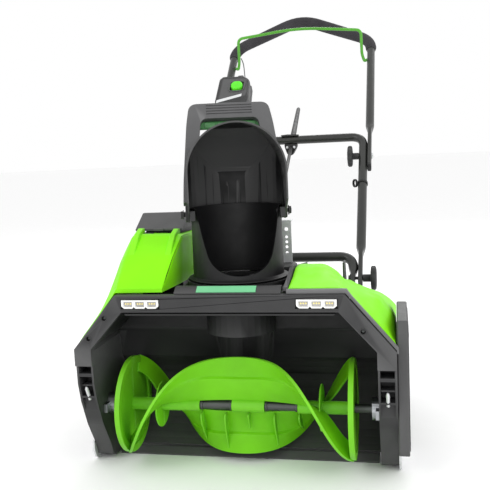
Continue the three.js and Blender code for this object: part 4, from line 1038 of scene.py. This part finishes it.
def leg_bar():
    return turned(on_handle(-UPPER["x"], 620), HANDLE_ALONG, [(0, 12.2), (190, 12.2)], 48)


def add_rod_bracket():
    """Saddle over the cross tube, and below it a tapered cheek on each side of the crank rod's guide."""
    cross = on_handle(0, MID["cross"])

    def across(outline, start, end):
        return shifted(prism("Y", outline, start, end), (0, cross.y, cross.z))

    saddle = [(-28, 11.6), (-28, 15), (-10, 16.4), (20, 15), (20, 11.6)]
    cheek = fillet([(-20, -11), (17, -11), (14, -22), (3, -40), (-5, -44), (-13, -38), (-19, -20)], 5, 4)
    spine = [(-17, 13), (-17, -16), (14, -16), (14, 13)]
    solids = [across(saddle, -13, 13), across(spine, 11.4, 14)]
    guide = turned(Vector((-5, cross.y, cross.z - 28)), CRANK_TOP - CRANK_BALL, [(-13, 9), (13, 9)], 24)
    rod_room = turned(CRANK_BALL, CRANK_TOP - CRANK_BALL, [(500, 5.1), (900, 5.1)], 32)
    lower = carve(merged_solid(across(cheek, -9, 14), guide), rod_room)
    clear = [carve(solid, rod_room) for solid in solids]
    piece("rod_saddle", merged(mesh_part(lower), *(mesh_part(c) for c in clear)), "base", "black_plastic",
          ["rod_bracket"], bevel=0.8)
    screws = [turned(Vector((x, cross.y - 9, cross.z - 20)), -Y, [(-0.5, 3.6), (0.8, 3.4), (1.5, 2.2)], 24)
              for x in (-12, 8)]
    piece("bracket_screws", merged(*screws), "base", "zinc", bevel=0.2)


def hoop(origin, axis, inner, outer, half):
    """Flat ring round an axis."""
    return looped(origin, axis, [(-half, inner), (-half, outer), (half, outer), (half, inner)], 64)


def add_cable_clip():
    """Band round the handle's right leg, with an eye for the control cable."""
    middle = on_handle(MID["x"], CLIP_L)
    band = hoop(middle, HANDLE_ALONG, TUBE_R + 0.2, 14, 3.6)
    eye = hoop(on_handle(MID["x"] - 19, CLIP_L, 3), Vector((0.85, 0.5, 0)), 8, 11, 3)
    piece("clip_band", merged(band, eye), "base", "black_plastic", ["cable_clip"], bevel=0.8, segments=3)


def add_bail_cable():
    """Short taut cable from the switch box up to the bail."""
    end = on_handle(-188, BAIL["pivot"]) + Vector((0, -4, 30))
    knots = [on_handle(-164, 776.6, 10), on_handle(-168, 792, 12), end + Vector((6, 4, -20)), end]
    knots = [2 * knots[0] - knots[1]] + knots + [2 * knots[-1] - knots[-2]]
    path = []
    for a, b, c, d in zip(knots, knots[1:], knots[2:], knots[3:]):
        for t in (k / 8 for k in range(8)):
            path.append(0.5 * (2 * b + (c - a) * t + (2 * a - 5 * b + 4 * c - d) * t ** 2
                               + (3 * b - a - 3 * c + d) * t ** 3))
    path.append(end)
    rings = []
    for i, point in enumerate(path):
        tangent = path[min(i + 1, len(path) - 1)] - path[max(i - 1, 0)]
        side = tangent.cross(X).normalized()
        up = tangent.cross(side).normalized()
        turns = (k * math.pi / 8 for k in range(16))
        rings.append([point + 1.6 * (side * math.cos(a) + up * math.sin(a)) for a in turns])
    cable = piece("bail_pull_cable", build(rings), "upper", "mid_grey", ["bail_cable"])


for add in (add_camera, add_studio, add_handle, add_knobs, add_bail, add_crank, add_auger, add_chute,
            add_hood, add_deflector_frame, add_wheels, add_hoods, add_lamps, add_bezel_details,
            add_drive_cover_details, add_rear_details, add_switch_box, add_bail_cable, add_rod_bracket,
            add_cable_clip, add_kept_nodes):
    add()
